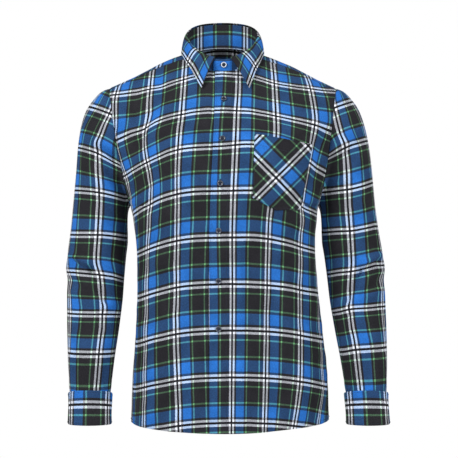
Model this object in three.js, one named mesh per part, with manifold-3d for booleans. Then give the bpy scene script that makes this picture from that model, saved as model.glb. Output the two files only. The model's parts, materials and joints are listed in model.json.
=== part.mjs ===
// A man's flannel shirt, filled out as if worn, hollow and open at the neck, hem and cuffs.
// Millimetres, +Z up, the front faces -Y, the wearer's left is +X.
// The origin lies between the shoulders, level with the highest point of the shoulder seams.
import * as THREE from 'three';
import { mergeVertices } from 'three/addons/utils/BufferGeometryUtils.js';
import Module from 'manifold-3d';

// Cloth and seams
const CLOTH = 1.5;
const SEAM_GAP = 0.3;
const LAP = CLOTH + SEAM_GAP;

// Front closing
const CLOSING_HALF = 18;
const CLOSING_DRIFT = -10.5;
const DRIFT_TOP = -60;
const DRIFT_LENGTH = 320;

// Body: how far the lower part hangs to the wearer's left, how far the shoulders lean to the right,
// and how much the hem rises on the left
const BODY_SWAY = 12;
const SWAY_TOP = -230;
const SWAY_LENGTH = 420;
const LEAN = 3;
const LEAN_BOTTOM = -240;
const LEAN_LENGTH = 140;
const HEM_LIFT = 5;

// Armhole, a slanting oval: the underarm, the shoulder point, and its depth front to back
const UNDERARM = { x: 191, y: 6, z: -298 };
const SHOULDER = { x: 230.5, y: 8, z: -57.5 };
const ARMHOLE_DEPTH = 60;
const ARMHOLE_BOW = 0.8;
const ARM_STEP = 15;

// Neck opening and collar
const NECK = { x: -3, y: 10, halfWidth: 72, halfDepth: 54 };
const STAND_BOTTOM = { front: -36, side: 2, back: 30 };
const STAND_TOP = { front: -3, side: 49, back: 80.5 };
const STAND_CORNER = 9;
const LEAF_START = 15.5;

// Cuffs
const CUFF = {
  x: 269,
  topY: -41.5,
  topZ: -674.5,
  length: 61,
  halfWidth: 44,
  halfDepth: 40.6,
  lean: 0.22,
  lapStart: 215,
  lapAngle: 35,
};

// Buttons
const BUTTON_RADIUS = 5.75;
const BUTTON_THICK = 2.4;
const BUTTON_SIDES = 16;
const BUTTON_SEAT = 0.4;

// Sleeves: how much further out the wearer's left wrist hangs
const LEFT_SWING = 18;
const SWING_TOP = -300;
const SWING_LENGTH = 400;

const COLOURS = { cloth: 0x2f4f86, button: 0x2b2f3a };

// Turns rows of numbers into objects with one property for each column.
function table(columns, rows) {
  return rows.map((row) => Object.fromEntries(columns.map((name, i) => [name, row[i]])));
}

// One half of the body, row by row, from the front hem (-448) up the front to the underarm (0),
// around the armhole (180 is the shoulder) and down the back to its hem (808).
// midY and midZ lie on the centre line, sideX and sideZ on the side seam. turn is the angle at which
// a row arrives at its side, fall is its slope there, crown is the fullness near the centre.
const BODY = table(
  ['at', 'midY', 'midZ', 'sideX', 'sideZ', 'turn', 'fall', 'crown'],
  [
    [-448, -134, -746, 202, -738, 90, 0, 0.49],
    [-352, -131, -650, 199, -650, 90, 0, 0.49],
    [-252, -127, -550, 190.5, -550, 90, 0, 0.49],
    [-152, -128, -450, 183.5, -450, 90, 0, 0.49],
    [-87, -136, -385, 182, -385, 90, 0, 0.49],
    [0, -146, -298, 191, -298, 90, 0, 0.49],
    [30, -145, -260, 191, -298, 80, 0, 0.49],
    [60, -140, -213, 191, -298, 66, 0, 0.48],
    [90, -128, -163, 191, -298, 52, 4, 0.46],
    [120, -101, -104, 191, -298, 34, 12, 0.42],
    [135, -79, -72, 191, -298, 23, 17, 0.4],
    [150, -40, -20, 191, -298, 10, 22, 0.38],
    [165, -10, 12, 191, -298, 4, 23, 0.36],
    [180, 18, 25, 191, -298, 0, 24, 0.36],
    [195, 42, 32, 191, -298, 4, 23, 0.36],
    [210, 64, 34, 191, -298, 10, 21, 0.38],
    [225, 91, 2, 191, -298, 20, 17, 0.4],
    [240, 108, -68, 191, -298, 32, 12, 0.42],
    [270, 119, -155, 191, -298, 50, 4, 0.46],
    [300, 123, -215, 191, -298, 66, 0, 0.48],
    [330, 123, -262, 191, -298, 80, 0, 0.49],
    [360, 120, -298, 191, -298, 90, 0, 0.49],
    [447, 109, -385, 182, -385, 90, 0, 0.49],
    [512, 105, -450, 183.5, -450, 90, 0, 0.49],
    [612, 108, -550, 190.5, -550, 90, 0, 0.49],
    [712, 117, -650, 199, -650, 90, 0, 0.49],
    [808, 124, -757, 202, -738, 90, 0, 0.49],
  ],
);
const HEM_FRONT = -448;
const YOKE_FRONT = 165;
const YOKE_BACK = 240;
const HEM_BACK = 808;
const YOKE_SEAM = 0.08;
const SIDE_HANDLE = 0.36;

// One sleeve, ring by ring from the armhole to the wrist: the ring runs from its inner point, next to
// the body, to its outer point. tip is how much higher its front lies than its back.
const SLEEVE = table(
  ['at', 'innerX', 'innerZ', 'outerX', 'outerZ', 'midY', 'depth', 'tip', 'bow'],
  [
    [0, 191, -298, 230.5, -57.5, 8, 60, 0, 0.8],
    [1, 193, -300.5, 247, -65.5, 8, 61, 0, 0.85],
    [2, 195, -304, 263, -81.8, 8, 62.5, 0, 0.9],
    [3, 196.3, -309, 277.5, -103, 8.5, 64, 0, 0.95],
    [4, 197.3, -316, 290, -139, 9, 65, 0, 1],
    [5, 197.8, -326, 297.5, -178, 10, 65, 0, 1],
    [6, 197.8, -340, 303.5, -232, 11, 65, 0, 1],
    [7, 197.2, -355, 308.5, -285, 12, 64, 0, 1],
    [8, 197, -372, 313.5, -345, 12, 63, 0, 1],
    [9, 200, -402, 319, -398, 12, 61, 0, 1],
    [10, 203, -440, 318, -440, 10, 60, 0.02, 1],
    [11, 206.5, -484, 320.3, -480, 4, 58, 0.06, 1],
    [12, 213.5, -547, 318.5, -545, -10, 53, 0.12, 1],
    [13, 222, -611, 315.5, -611, -26, 47, 0.18, 1],
    [14, 228.6, -676, 309.4, -679, -42, 37.6, 0.22, 1],
  ],
);
const SLEEVE_RINGS = [0, 1, 2, 3, 4, 5, 6, 7, 8, 8.6, 9.2, 9.6, 10, 10.4, 10.8, 11.3, 12, 12.7, 13.4, 14];

// Large folds of the fronts, as lines seen from the front: troughs have a negative rise.
const FRONT_FOLDS = table(
  ['x1', 'z1', 'x2', 'z2', 'width', 'rise'],
  [
    [-172, -175, -142, -112, 16, -5],
    [-142, -112, -112, -72, 14, -4],
    [190, -180, 166, -300, 15, -5],
    [64, -420, 70, -735, 18, 4],
    [-96, -520, -110, -735, 22, 4],
    [150, -560, 160, -735, 20, 3.5],
    [-165, -300, -120, -420, 20, 3],
  ],
);
const BACK_FOLDS = table(
  ['x1', 'z1', 'x2', 'z2', 'width', 'rise'],
  [
    [-60, -300, -48, -740, 24, 4],
    [72, -360, 84, -740, 26, 4],
    [150, -180, 110, -330, 20, 3.5],
    [-150, -190, -112, -340, 20, 3.5],
  ],
);
// Folds of a sleeve: around is the angle from the underarm over the front, down is the height.
const SLEEVE_FOLDS = table(
  ['around1', 'down1', 'around2', 'down2', 'width', 'rise'],
  [
    [178, -424, 120, -436, 18, 4],
    [150, -446, 60, -486, 12, -4.5],
    [110, -462, 20, -508, 12, 4],
    [230, -420, 300, -470, 13, 4],
    [250, -452, 330, -498, 12, -4],
    [40, -232, 110, -196, 15, -4.5],
    [320, -240, 250, -200, 15, -4],
    [120, -560, 80, -640, 16, 3],
    [200, -540, 220, -640, 16, 3],
  ],
);
const FOLD_GIRTH = 60;

// Chest pocket, on the wearer's left front: its corners as seen from the front.
const POCKET = {
  topInner: { x: 60, z: -159 },
  topOuter: { x: 176, z: -178 },
  bottomInner: { x: 56, z: -284 },
  bottomOuter: { x: 152, z: -306 },
  point: { x: 102, z: -309 },
  seat: 0.7,
};

// Buttons down the front closing, with how far each stands off the cloth, and the one on the stand.
const FRONT_BUTTONS = table(
  ['z', 'seat'],
  [
    [-87, 0.4],
    [-168, 0.5],
    [-256, 0.4],
    [-348, 0.5],
    [-447, 0.8],
    [-541, 0.6],
  ],
);
const COLLAR_BUTTON = { angle: 0.035, z: -15 };

function smoothstep(low, high, value) {
  const t = Math.min(1, Math.max(0, (value - low) / (high - low)));
  return t * t * (3 - 2 * t);
}

// Smooth curve through a table's column that never swings past its own values.
function column(rows, name, at) {
  const last = rows.length - 1;
  let i = rows.findIndex((row) => row.at > at) - 1;
  if (i === -2) i = last - 1;
  if (i < 0) i = 0;
  const slope = (k) => (rows[k + 1][name] - rows[k][name]) / (rows[k + 1].at - rows[k].at);
  const tangent = (k) => {
    if (k === 0) return slope(0);
    if (k === last) return slope(last - 1);
    const before = slope(k - 1);
    const after = slope(k);
    return before * after <= 0 ? 0 : (2 * before * after) / (before + after);
  };
  const span = rows[i + 1].at - rows[i].at;
  const t = Math.min(1, Math.max(0, (at - rows[i].at) / span));
  const start = rows[i][name];
  const end = rows[i + 1][name];
  const rise = tangent(i) * span;
  const arrive = tangent(i + 1) * span;
  return (
    start * (2 * t ** 3 - 3 * t ** 2 + 1) +
    rise * (t ** 3 - 2 * t ** 2 + t) +
    end * (3 * t ** 2 - 2 * t ** 3) +
    arrive * (t ** 3 - t ** 2)
  );
}

// A fold's height at a point, from its distance to the fold's line.
function foldRise(u, v, u1, v1, u2, v2, width, rise) {
  const du = u2 - u1;
  const dv = v2 - v1;
  const t = Math.min(1, Math.max(0, ((u - u1) * du + (v - v1) * dv) / (du * du + dv * dv)));
  const distance = Math.hypot(u - u1 - t * du, v - v1 - t * dv);
  return rise * Math.exp(-((distance / width) ** 2));
}

// Point of the armhole seam: 0 is the underarm, 90 the front, 180 the shoulder, 270 the back.
function armholePoint(angle) {
  const turn = THREE.MathUtils.degToRad(angle);
  const up = (1 - Math.cos(turn)) / 2;
  return new THREE.Vector3(
    UNDERARM.x + (SHOULDER.x - UNDERARM.x) * up ** ARMHOLE_BOW,
    UNDERARM.y + (SHOULDER.y - UNDERARM.y) * up - ARMHOLE_DEPTH * Math.sin(turn),
    UNDERARM.z + (SHOULDER.z - UNDERARM.z) * up,
  );
}

// The side end of a body row: on the side seam below the underarm, else on the armhole.
function sidePoint(at) {
  if (at > 0 && at < 360) return armholePoint(at);
  return new THREE.Vector3(column(BODY, 'sideX', at), UNDERARM.y, column(BODY, 'sideZ', at));
}

// One body row from its centre to its side, as a fine polyline with the distance along it.
const rowCache = new Map();
function bodyRow(at) {
  if (rowCache.has(at)) return rowCache.get(at);
  const centre = new THREE.Vector3(0, column(BODY, 'midY', at), column(BODY, 'midZ', at));
  const side = sidePoint(at);
  const reach = centre.distanceTo(side);
  const turn = THREE.MathUtils.degToRad(column(BODY, 'turn', at));
  const fall = THREE.MathUtils.degToRad(column(BODY, 'fall', at));
  const backwards = at > 180 ? -1 : 1;
  const arrive = new THREE.Vector3(
    Math.cos(turn) * Math.cos(fall),
    backwards * Math.sin(turn),
    -Math.sin(fall) * Math.cos(turn),
  );
  const first = centre.clone().add(new THREE.Vector3(column(BODY, 'crown', at) * reach, 0, 0));
  const second = side.clone().addScaledVector(arrive, -SIDE_HANDLE * reach);
  const points = new THREE.CubicBezierCurve3(centre, first, second, side).getPoints(48);
  const along = [0];
  for (let i = 1; i < points.length; i += 1) {
    along.push(along[i - 1] + points[i].distanceTo(points[i - 1]));
  }
  const row = { points, along, length: along[along.length - 1] };
  rowCache.set(at, row);
  return row;
}

function bodySway(z) {
  return BODY_SWAY * smoothstep(0, SWAY_LENGTH, SWAY_TOP - z) - lean(z);
}

function lean(z) {
  return LEAN * smoothstep(0, LEAN_LENGTH, z - LEAN_BOTTOM);
}

// Point of the smooth body, a distance across from the centre line, + to the wearer's left.
function smoothBody(at, across) {
  const row = bodyRow(at);
  const distance = Math.min(Math.abs(across), row.length);
  let i = 1;
  while (i < row.along.length - 1 && row.along[i] < distance) i += 1;
  const t = (distance - row.along[i - 1]) / (row.along[i] - row.along[i - 1]);
  const point = row.points[i - 1].clone().lerp(row.points[i], t);
  if (across < 0) point.x = -point.x;
  point.x += bodySway(point.z);
  point.z += HEM_LIFT * smoothstep(0, 190, point.x) * smoothstep(620, 740, -point.z);
  return point;
}

const ROW_NUDGE = 0.8;
const ACROSS_NUDGE = 1.5;

function bodyNormal(at, across) {
  const limit = bodyRow(at).length - ACROSS_NUDGE;
  const near = Math.max(-limit, Math.min(limit, across));
  const rowBefore = Math.max(HEM_FRONT, at - ROW_NUDGE);
  const rowAfter = Math.min(HEM_BACK, at + ROW_NUDGE);
  const sideways = smoothBody(at, near + ACROSS_NUDGE).sub(smoothBody(at, near - ACROSS_NUDGE));
  const share = near / bodyRow(at).length;
  const upwards = smoothBody(rowAfter, share * bodyRow(rowAfter).length).sub(
    smoothBody(rowBefore, share * bodyRow(rowBefore).length),
  );
  return sideways.cross(upwards).normalize();
}

// Point of the body with its folds, moved out by a distance along the surface's normal.
function bodyPoint(at, across, out = 0) {
  const point = smoothBody(at, across);
  const folds = at < 180 ? FRONT_FOLDS : BACK_FOLDS;
  const edge = smoothstep(0, 30, bodyRow(at).length - Math.abs(across));
  let rise = 0;
  for (const fold of folds) {
    rise += edge * foldRise(point.x, point.z, fold.x1, fold.z1, fold.x2, fold.z2, fold.width, fold.rise);
  }
  return point.addScaledVector(bodyNormal(at, across), rise + out);
}

// Where the front closing's centre line lies at a height.
function closingLine(z) {
  return CLOSING_DRIFT * smoothstep(0, DRIFT_LENGTH, DRIFT_TOP - z) - bodySway(z);
}

// Finds the body row and the distance across for a point of the front seen from the front.
function frontAt(x, z) {
  let low = HEM_FRONT;
  let high = YOKE_FRONT;
  let across = 0;
  for (let i = 0; i < 40; i += 1) {
    const middle = (low + high) / 2;
    across = acrossAt(middle, x);
    if (smoothBody(middle, across).z < z) low = middle;
    else high = middle;
  }
  return { at: (low + high) / 2, across };
}

function acrossAt(at, x) {
  const length = bodyRow(at).length;
  let low = -length;
  let high = length;
  for (let i = 0; i < 40; i += 1) {
    const middle = (low + high) / 2;
    if (smoothBody(at, middle).x < x) low = middle;
    else high = middle;
  }
  return (low + high) / 2;
}

// Closed wall between an outer and an inner grid of points; a wrapped grid closes on itself.
function wall(outer, inner, wrapped = false) {
  const rows = outer.length;
  const columns = outer[0].length;
  const positions = [];
  for (const grid of [outer, inner]) {
    for (const row of grid) for (const point of row) positions.push(point.x, point.y, point.z);
  }
  const index = [];
  const out = (i, j) => i * columns + (j % columns);
  const back = (i, j) => rows * columns + out(i, j);
  const quad = (a, b, c, d) => index.push(a, b, c, a, c, d);
  const spans = wrapped ? columns : columns - 1;
  for (let i = 0; i < rows - 1; i += 1) {
    for (let j = 0; j < spans; j += 1) {
      quad(out(i, j), out(i, j + 1), out(i + 1, j + 1), out(i + 1, j));
      quad(back(i, j), back(i + 1, j), back(i + 1, j + 1), back(i, j + 1));
    }
  }
  for (let j = 0; j < spans; j += 1) {
    quad(out(0, j), back(0, j), back(0, j + 1), out(0, j + 1));
    quad(out(rows - 1, j), out(rows - 1, j + 1), back(rows - 1, j + 1), back(rows - 1, j));
  }
  if (!wrapped) {
    const end = columns - 1;
    for (let i = 0; i < rows - 1; i += 1) {
      quad(out(i, 0), out(i + 1, 0), back(i + 1, 0), back(i, 0));
      quad(out(i, end), back(i, end), back(i + 1, end), out(i + 1, end));
    }
  }
  const geometry = new THREE.BufferGeometry();
  geometry.setAttribute('position', new THREE.Float32BufferAttribute(positions, 3));
  geometry.setIndex(signedVolume(positions, index) < 0 ? index.reverse() : index);
  return geometry;
}

function signedVolume(positions, index) {
  const corner = (k) => new THREE.Vector3().fromArray(positions, index[k] * 3);
  let sum = 0;
  for (let k = 0; k < index.length; k += 3) {
    sum += corner(k).dot(corner(k + 1).cross(corner(k + 2))) / 6;
  }
  return sum;
}

function piece(name, geometry, colour = COLOURS.cloth, roughness = 0.9) {
  geometry.computeVertexNormals();
  const material = new THREE.MeshStandardMaterial({ color: colour, roughness, metalness: 0 });
  const mesh = new THREE.Mesh(geometry, material);
  mesh.name = name;
  return mesh;
}

// Evenly spaced row positions, both ends included.
function rowsBetween(first, last, steps) {
  const rows = [];
  for (let at = first; at <= last + 1e-6; at += steps) rows.push(at);
  return rows;
}

const LOWER_ROWS = [448, 400, 352, 302, 252, 202, 152, 120, 87, 58, 29];

// Grid of a front: columns run from its closing edge to its side seam or armhole.
function frontGrid(side, under) {
  const rows = [...LOWER_ROWS.map((depth) => -depth), ...rowsBetween(0, YOKE_FRONT, ARM_STEP)];
  rows[rows.length - 1] -= YOKE_SEAM;
  const layers = { outer: [], inner: [] };
  for (const at of rows) {
    const middle = closingLine(smoothBody(at, 0).z);
    const end = side * (bodyRow(at).length - SEAM_GAP / 2);
    const lap = [-1, -0.5, 0, 0.5, 1].map((share) => middle + side * share * CLOSING_HALF);
    const clear = lap[4] + side * 14;
    const rest = [];
    for (let j = 0; j <= 10; j += 1) rest.push(clear + (end - clear) * (j / 10));
    const columns = [...lap, ...rest];
    const sunk = columns.map((_, j) => (under && j < 5 ? -LAP : 0));
    layers.outer.push(columns.map((across, j) => bodyPoint(at, across, sunk[j])));
    layers.inner.push(columns.map((across, j) => bodyPoint(at, across, sunk[j] - CLOTH)));
  }
  return layers;
}

// Grid of a panel that runs from one side to the other.
function wideGrid(rows, spans) {
  const layers = { outer: [], inner: [] };
  for (const at of rows) {
    const end = bodyRow(at).length - SEAM_GAP / 2;
    const columns = [];
    for (let j = 0; j <= spans; j += 1) columns.push(end * (-1 + (2 * j) / spans));
    layers.outer.push(columns.map((across) => bodyPoint(at, across)));
    layers.inner.push(columns.map((across) => bodyPoint(at, across, -CLOTH)));
  }
  return layers;
}

// Point of a sleeve ring; around follows the armhole's angles.
function smoothSleeve(side, ring, around) {
  const turn = THREE.MathUtils.degToRad(around);
  const out = (1 - Math.cos(turn)) / 2;
  const value = (name) => column(SLEEVE, name, ring);
  const depth = value('depth') * Math.sin(turn);
  const x = value('innerX') + (value('outerX') - value('innerX')) * out ** value('bow');
  const z = value('innerZ') + (value('outerZ') - value('innerZ')) * out + value('tip') * depth;
  const swing = side > 0 ? LEFT_SWING * Math.max(0, (SWING_TOP - z) / SWING_LENGTH) : 0;
  return new THREE.Vector3(side * x + swing - lean(z), value('midY') - depth, z);
}

function sleeveNormal(side, ring, around) {
  const before = Math.max(0, ring - 0.04);
  const after = Math.min(14, ring + 0.04);
  const along = smoothSleeve(side, after, around).sub(smoothSleeve(side, before, around));
  const across = smoothSleeve(side, ring, around + 2).sub(smoothSleeve(side, ring, around - 2));
  return along.cross(across).multiplyScalar(side).normalize();
}

function sleevePoint(side, ring, around, out = 0) {
  const point = smoothSleeve(side, ring, around);
  let rise = 0;
  for (const fold of SLEEVE_FOLDS) {
    const scale = FOLD_GIRTH * THREE.MathUtils.DEG2RAD;
    rise += foldRise(
      around * scale, point.z, fold.around1 * scale, fold.down1,
      fold.around2 * scale, fold.down2, fold.width, fold.rise,
    );
  }
  return point.addScaledVector(sleeveNormal(side, ring, around), rise + out);
}

// The sleeve's first ring follows the armhole seam and turns its wall as the body's wall is turned.
function sleeveGrid(side) {
  const layers = { outer: [], inner: [] };
  for (const ring of SLEEVE_RINGS) {
    const outerRow = [];
    const innerRow = [];
    for (let around = 0; around < 360; around += ARM_STEP) {
      if (ring === 0) {
        const seam = smoothBody(around, side * bodyRow(around).length);
        const next = sleevePoint(side, 1, around);
        const away = next.clone().sub(seam).normalize();
        const start = seam.clone().addScaledVector(away, SEAM_GAP);
        start.x += side * SEAM_GAP;
        const own = sleeveNormal(side, 0.3, around);
        const body = bodyNormal(around, side * bodyRow(around).length);
        const high = smoothstep(60, 130, 180 - Math.abs(180 - around));
        const normal = own.lerp(body, high).normalize();
        outerRow.push(start);
        innerRow.push(start.clone().addScaledVector(normal, -CLOTH));
      } else {
        outerRow.push(sleevePoint(side, ring, around));
        innerRow.push(sleevePoint(side, ring, around, -CLOTH));
      }
    }
    layers.outer.push(outerRow);
    layers.inner.push(innerRow);
  }
  return layers;
}

// Height around the neck from its heights at the front, side and back; angle 0 is the front.
function aroundNeck(heights, angle) {
  const c = Math.cos(angle);
  const tilt = (heights.front - heights.back) / 2;
  const middle = (heights.front + heights.back) / 2;
  return middle + tilt * c + (heights.side - middle) * (1 - c * c);
}

function neckPoint(angle, out, z) {
  const c = Math.cos(angle);
  const s = Math.sin(angle);
  return new THREE.Vector3(
    NECK.x + (NECK.halfWidth + out) * s,
    NECK.y - (NECK.halfDepth + out) * c,
    z,
  );
}

// The stand runs from the under end, right round the neck, to the buttoned end that lies over it.
function standGrid() {
  const lapAngle = Math.asin(CLOSING_HALF / NECK.halfWidth);
  const first = lapAngle;
  const last = -2 * Math.PI - lapAngle;
  const spans = 44;
  const layers = { outer: [], inner: [] };
  for (const level of [0, 0.55, 1]) {
    const outerRow = [];
    const innerRow = [];
    for (let j = 0; j <= spans; j += 1) {
      const angle = first + (last - first) * (j / spans);
      const lapped = LAP * smoothstep(0.72, 0.88, j / spans);
      const bottom = aroundNeck(STAND_BOTTOM, angle);
      const fromEnd = NECK.halfWidth * Math.min(Math.abs(angle - first), Math.abs(angle - last));
      const short = Math.max(0, STAND_CORNER - fromEnd);
      const corner = STAND_CORNER - Math.sqrt(STAND_CORNER ** 2 - short ** 2);
      const top = aroundNeck(STAND_TOP, angle) - corner;
      const z = bottom + (top - bottom) * level;
      outerRow.push(neckPoint(angle, lapped, z));
      innerRow.push(neckPoint(angle, lapped - CLOTH, z));
    }
    layers.outer.push(outerRow);
    layers.inner.push(innerRow);
  }
  return layers;
}

// Lower edge of the collar leaf, on the body: from each front tip round to the centre back.
const LEAF_EDGE = table(
  ['at', 'row', 'across'],
  [
    [0, 136.7, 47],
    [0.12, 147.5, 63],
    [0.27, 160, 77],
    [0.42, 177, 84],
    [0.58, 195, 84],
    [0.74, 210, 74],
    [0.88, 219, 46],
    [1, 221, 0],
  ],
);
const LEAF_LIFT = 2.6;
const TIP_SHIFT = 6;
const LEAF_GRIP = 1.2;

function leafGrid() {
  const spans = 36;
  const layers = { outer: [], inner: [] };
  const startAngle = Math.asin(LEAF_START / NECK.halfWidth);
  for (const level of [0, 0.06, 0.16, 0.4, 0.7, 1]) {
    const outerRow = [];
    const innerRow = [];
    for (let j = 0; j <= spans; j += 1) {
      const walk = -1 + (2 * j) / spans;
      const side = Math.sign(walk) || 1;
      const share = 1 - Math.abs(walk);
      const angle = side * (startAngle + (Math.PI - startAngle) * share);
      const section = leafSection(side, share, angle);
      const point = section.getPoint(level);
      const slope = section.getTangent(level);
      const nearby = leafSection(side, Math.min(1, share + 0.02), angle + side * 0.02).getPoint(level);
      const sideways = nearby.sub(point);
      const normal = sideways.cross(slope).multiplyScalar(side).normalize();
      outerRow.push(point);
      innerRow.push(point.clone().addScaledVector(normal, -CLOTH));
    }
    layers.outer.push(outerRow);
    layers.inner.push(innerRow);
  }
  return layers;
}

// A section of the leaf: up out of the fold over the stand, then down and out to the edge.
function leafSection(side, share, angle) {
  const row = column(LEAF_EDGE, 'row', share);
  const across = side * column(LEAF_EDGE, 'across', share) + TIP_SHIFT * (1 - share) ** 6;
  const edge = bodyPoint(row, across, LEAF_LIFT + CLOTH);
  const foldZ = aroundNeck(STAND_TOP, angle) + SEAM_GAP + CLOTH;
  const fold = neckPoint(angle, -LEAF_GRIP, foldZ);
  const over = neckPoint(angle, LAP + 5, foldZ - 1);
  const down = edge.clone().lerp(over, 0.35);
  down.z += 4;
  return new THREE.CubicBezierCurve3(fold, over, down, edge);
}

const shirt = new THREE.Group();
const wasm = await Module();
wasm.setup();

// Turns a geometry into a solid that can be cut, and back.
function solidOf(geometry) {
  const bare = geometry.clone();
  bare.deleteAttribute('normal');
  bare.deleteAttribute('uv');
  const merged = mergeVertices(bare, 1e-4);
  return new wasm.Manifold(new wasm.Mesh({
    numProp: 3,
    vertProperties: new Float32Array(merged.attributes.position.array),
    triVerts: new Uint32Array(merged.index.array),
  }));
}

function geometryOf(solid) {
  const mesh = solid.getMesh();
  const geometry = new THREE.BufferGeometry();
  geometry.setAttribute('position', new THREE.BufferAttribute(new Float32Array(mesh.vertProperties), 3));
  geometry.setIndex(new THREE.BufferAttribute(new Uint32Array(mesh.triVerts), 1));
  return geometry;
}

// The space that the stand fills, cut out of the fronts and the yoke.
function neckCutter() {
  const clear = SEAM_GAP + LAP / 2;
  const tube = new THREE.CylinderGeometry(1, 1, 240, 64);
  tube.rotateX(Math.PI / 2);
  tube.scale(NECK.halfWidth + LAP + SEAM_GAP, NECK.halfDepth + clear, 1);
  tube.translate(NECK.x, NECK.y - LAP / 2, 40);
  return solidOf(tube);
}

const neck = neckCutter();
function panel(name, layers) {
  const cut = solidOf(wall(layers.outer, layers.inner)).subtract(neck);
  return piece(name, geometryOf(cut));
}

// A cuff is a band that starts under its own end: it runs right round the wrist and laps over itself.
function cuffPoint(side, around, level, out) {
  const turn = THREE.MathUtils.degToRad(around);
  const middleZ = CUFF.topZ - CUFF.length * level;
  const x = CUFF.x - (CUFF.halfWidth + out) * Math.cos(turn);
  const depth = (CUFF.halfDepth + out) * Math.sin(turn);
  const swing = side > 0 ? LEFT_SWING * ((SWING_TOP - middleZ) / SWING_LENGTH) : 0;
  const y = CUFF.topY - CUFF.lean * CUFF.length * level - depth;
  return new THREE.Vector3(side * x + swing, y, middleZ + CUFF.lean * depth);
}

function cuffGrid(side) {
  const spans = 36;
  const layers = { outer: [], inner: [] };
  for (const level of [0, 0.06, 0.5, 0.94, 1]) {
    const outerRow = [];
    const innerRow = [];
    for (let j = 0; j <= spans; j += 1) {
      const around = CUFF.lapStart + (360 + CUFF.lapAngle) * (j / spans);
      const lapped = LAP * smoothstep(0.78, 0.9, j / spans);
      outerRow.push(cuffPoint(side, around, level, lapped));
      innerRow.push(cuffPoint(side, around, level, lapped - CLOTH));
    }
    layers.outer.push(outerRow);
    layers.inner.push(innerRow);
  }
  return layers;
}

// The pocket is made from points of the front, moved out.
function pocketGrid() {
  const spans = 8;
  const layers = { outer: [], inner: [] };
  for (let i = 0; i <= spans; i += 1) {
    const outerRow = [];
    const innerRow = [];
    for (let j = 0; j <= spans; j += 1) {
      const across = j / spans;
      const top = between(POCKET.topInner, POCKET.topOuter, across);
      const bottom = across < 0.5
        ? between(POCKET.bottomInner, POCKET.point, across * 2)
        : between(POCKET.point, POCKET.bottomOuter, across * 2 - 1);
      const spot = between(top, bottom, i / spans);
      const place = frontAt(spot.x, spot.z);
      innerRow.push(bodyPoint(place.at, place.across, POCKET.seat));
      outerRow.push(bodyPoint(place.at, place.across, POCKET.seat + CLOTH));
    }
    layers.outer.push(outerRow);
    layers.inner.push(innerRow);
  }
  return layers;
}

function between(a, b, share) {
  return { x: a.x + (b.x - a.x) * share, z: a.z + (b.z - a.z) * share };
}

// A shirt button with a raised rim; its back lies on the XY plane.
function buttonGeometry() {
  const r = BUTTON_RADIUS;
  const profile = [
    [0, 0], [r - 0.6, 0], [r, 0.7], [r, BUTTON_THICK - 0.6], [r - 0.9, BUTTON_THICK],
    [r - 1.9, BUTTON_THICK - 0.7], [0, BUTTON_THICK - 0.7],
  ].map(([x, y]) => new THREE.Vector2(x, y));
  const geometry = new THREE.LatheGeometry(profile, BUTTON_SIDES);
  geometry.rotateX(Math.PI / 2);
  return geometry;
}

// Sews a button on at a point, facing along the cloth's normal.
function button(name, point, normal, seat = BUTTON_SEAT) {
  const mesh = piece(name, buttonGeometry(), COLOURS.button, 0.35);
  mesh.quaternion.setFromUnitVectors(new THREE.Vector3(0, 0, 1), normal);
  mesh.position.copy(point).addScaledVector(normal, seat);
  return mesh;
}

function frontButton(name, { z, seat }) {
  const across = closingLine(z);
  let low = HEM_FRONT;
  let high = YOKE_FRONT;
  for (let i = 0; i < 40; i += 1) {
    const middle = (low + high) / 2;
    if (smoothBody(middle, across).z < z) low = middle;
    else high = middle;
  }
  return button(name, bodyPoint(low, across), bodyNormal(low, across), seat);
}

function cuffButton(name, side) {
  const around = CUFF.lapStart + CUFF.lapAngle * 0.5;
  const point = cuffPoint(side, around, 0.5, LAP);
  const out = cuffPoint(side, around, 0.5, LAP + 1).sub(point).normalize();
  return button(name, point, out);
}

shirt.add(panel('front_right', frontGrid(-1, true)));
shirt.add(panel('front_left', frontGrid(1, false)));
const yokeRows = rowsBetween(YOKE_FRONT, YOKE_BACK, ARM_STEP);
yokeRows[0] += YOKE_SEAM;
yokeRows[yokeRows.length - 1] -= YOKE_SEAM;
shirt.add(panel('yoke', wideGrid(yokeRows, 26)));
const backRows = [
  ...rowsBetween(YOKE_BACK, 360, ARM_STEP),
  ...LOWER_ROWS.map((depth) => 360 + depth).reverse(),
];
backRows[0] += YOKE_SEAM;
const backLayers = wideGrid(backRows, 24);
shirt.add(piece('back', wall(backLayers.outer, backLayers.inner)));
for (const [word, side] of [['right', -1], ['left', 1]]) {
  const layers = sleeveGrid(side);
  shirt.add(piece(`sleeve_${word}`, wall(layers.outer, layers.inner, true)));
}
const stand = standGrid();
shirt.add(piece('collar_stand', wall(stand.outer, stand.inner)));
const leaf = leafGrid();
shirt.add(piece('collar_leaf', wall(leaf.outer, leaf.inner)));

for (const [word, side] of [['right', -1], ['left', 1]]) {
  const cuff = cuffGrid(side);
  shirt.add(piece(`cuff_${word}`, wall(cuff.outer, cuff.inner)));
  shirt.add(cuffButton(`button_cuff_${word}`, side));
}
const pocket = pocketGrid();
shirt.add(piece('pocket', wall(pocket.outer, pocket.inner)));
FRONT_BUTTONS.forEach((row, i) => shirt.add(frontButton(`button_front_${i + 1}`, row)));
const tabPoint = neckPoint(COLLAR_BUTTON.angle, LAP, COLLAR_BUTTON.z);
shirt.add(button('button_collar', tabPoint, new THREE.Vector3(0, -1, 0)));

export default shirt;
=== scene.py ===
import json
import math

import bmesh
import bpy
import numpy as np
from mathutils import Matrix, Vector

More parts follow.
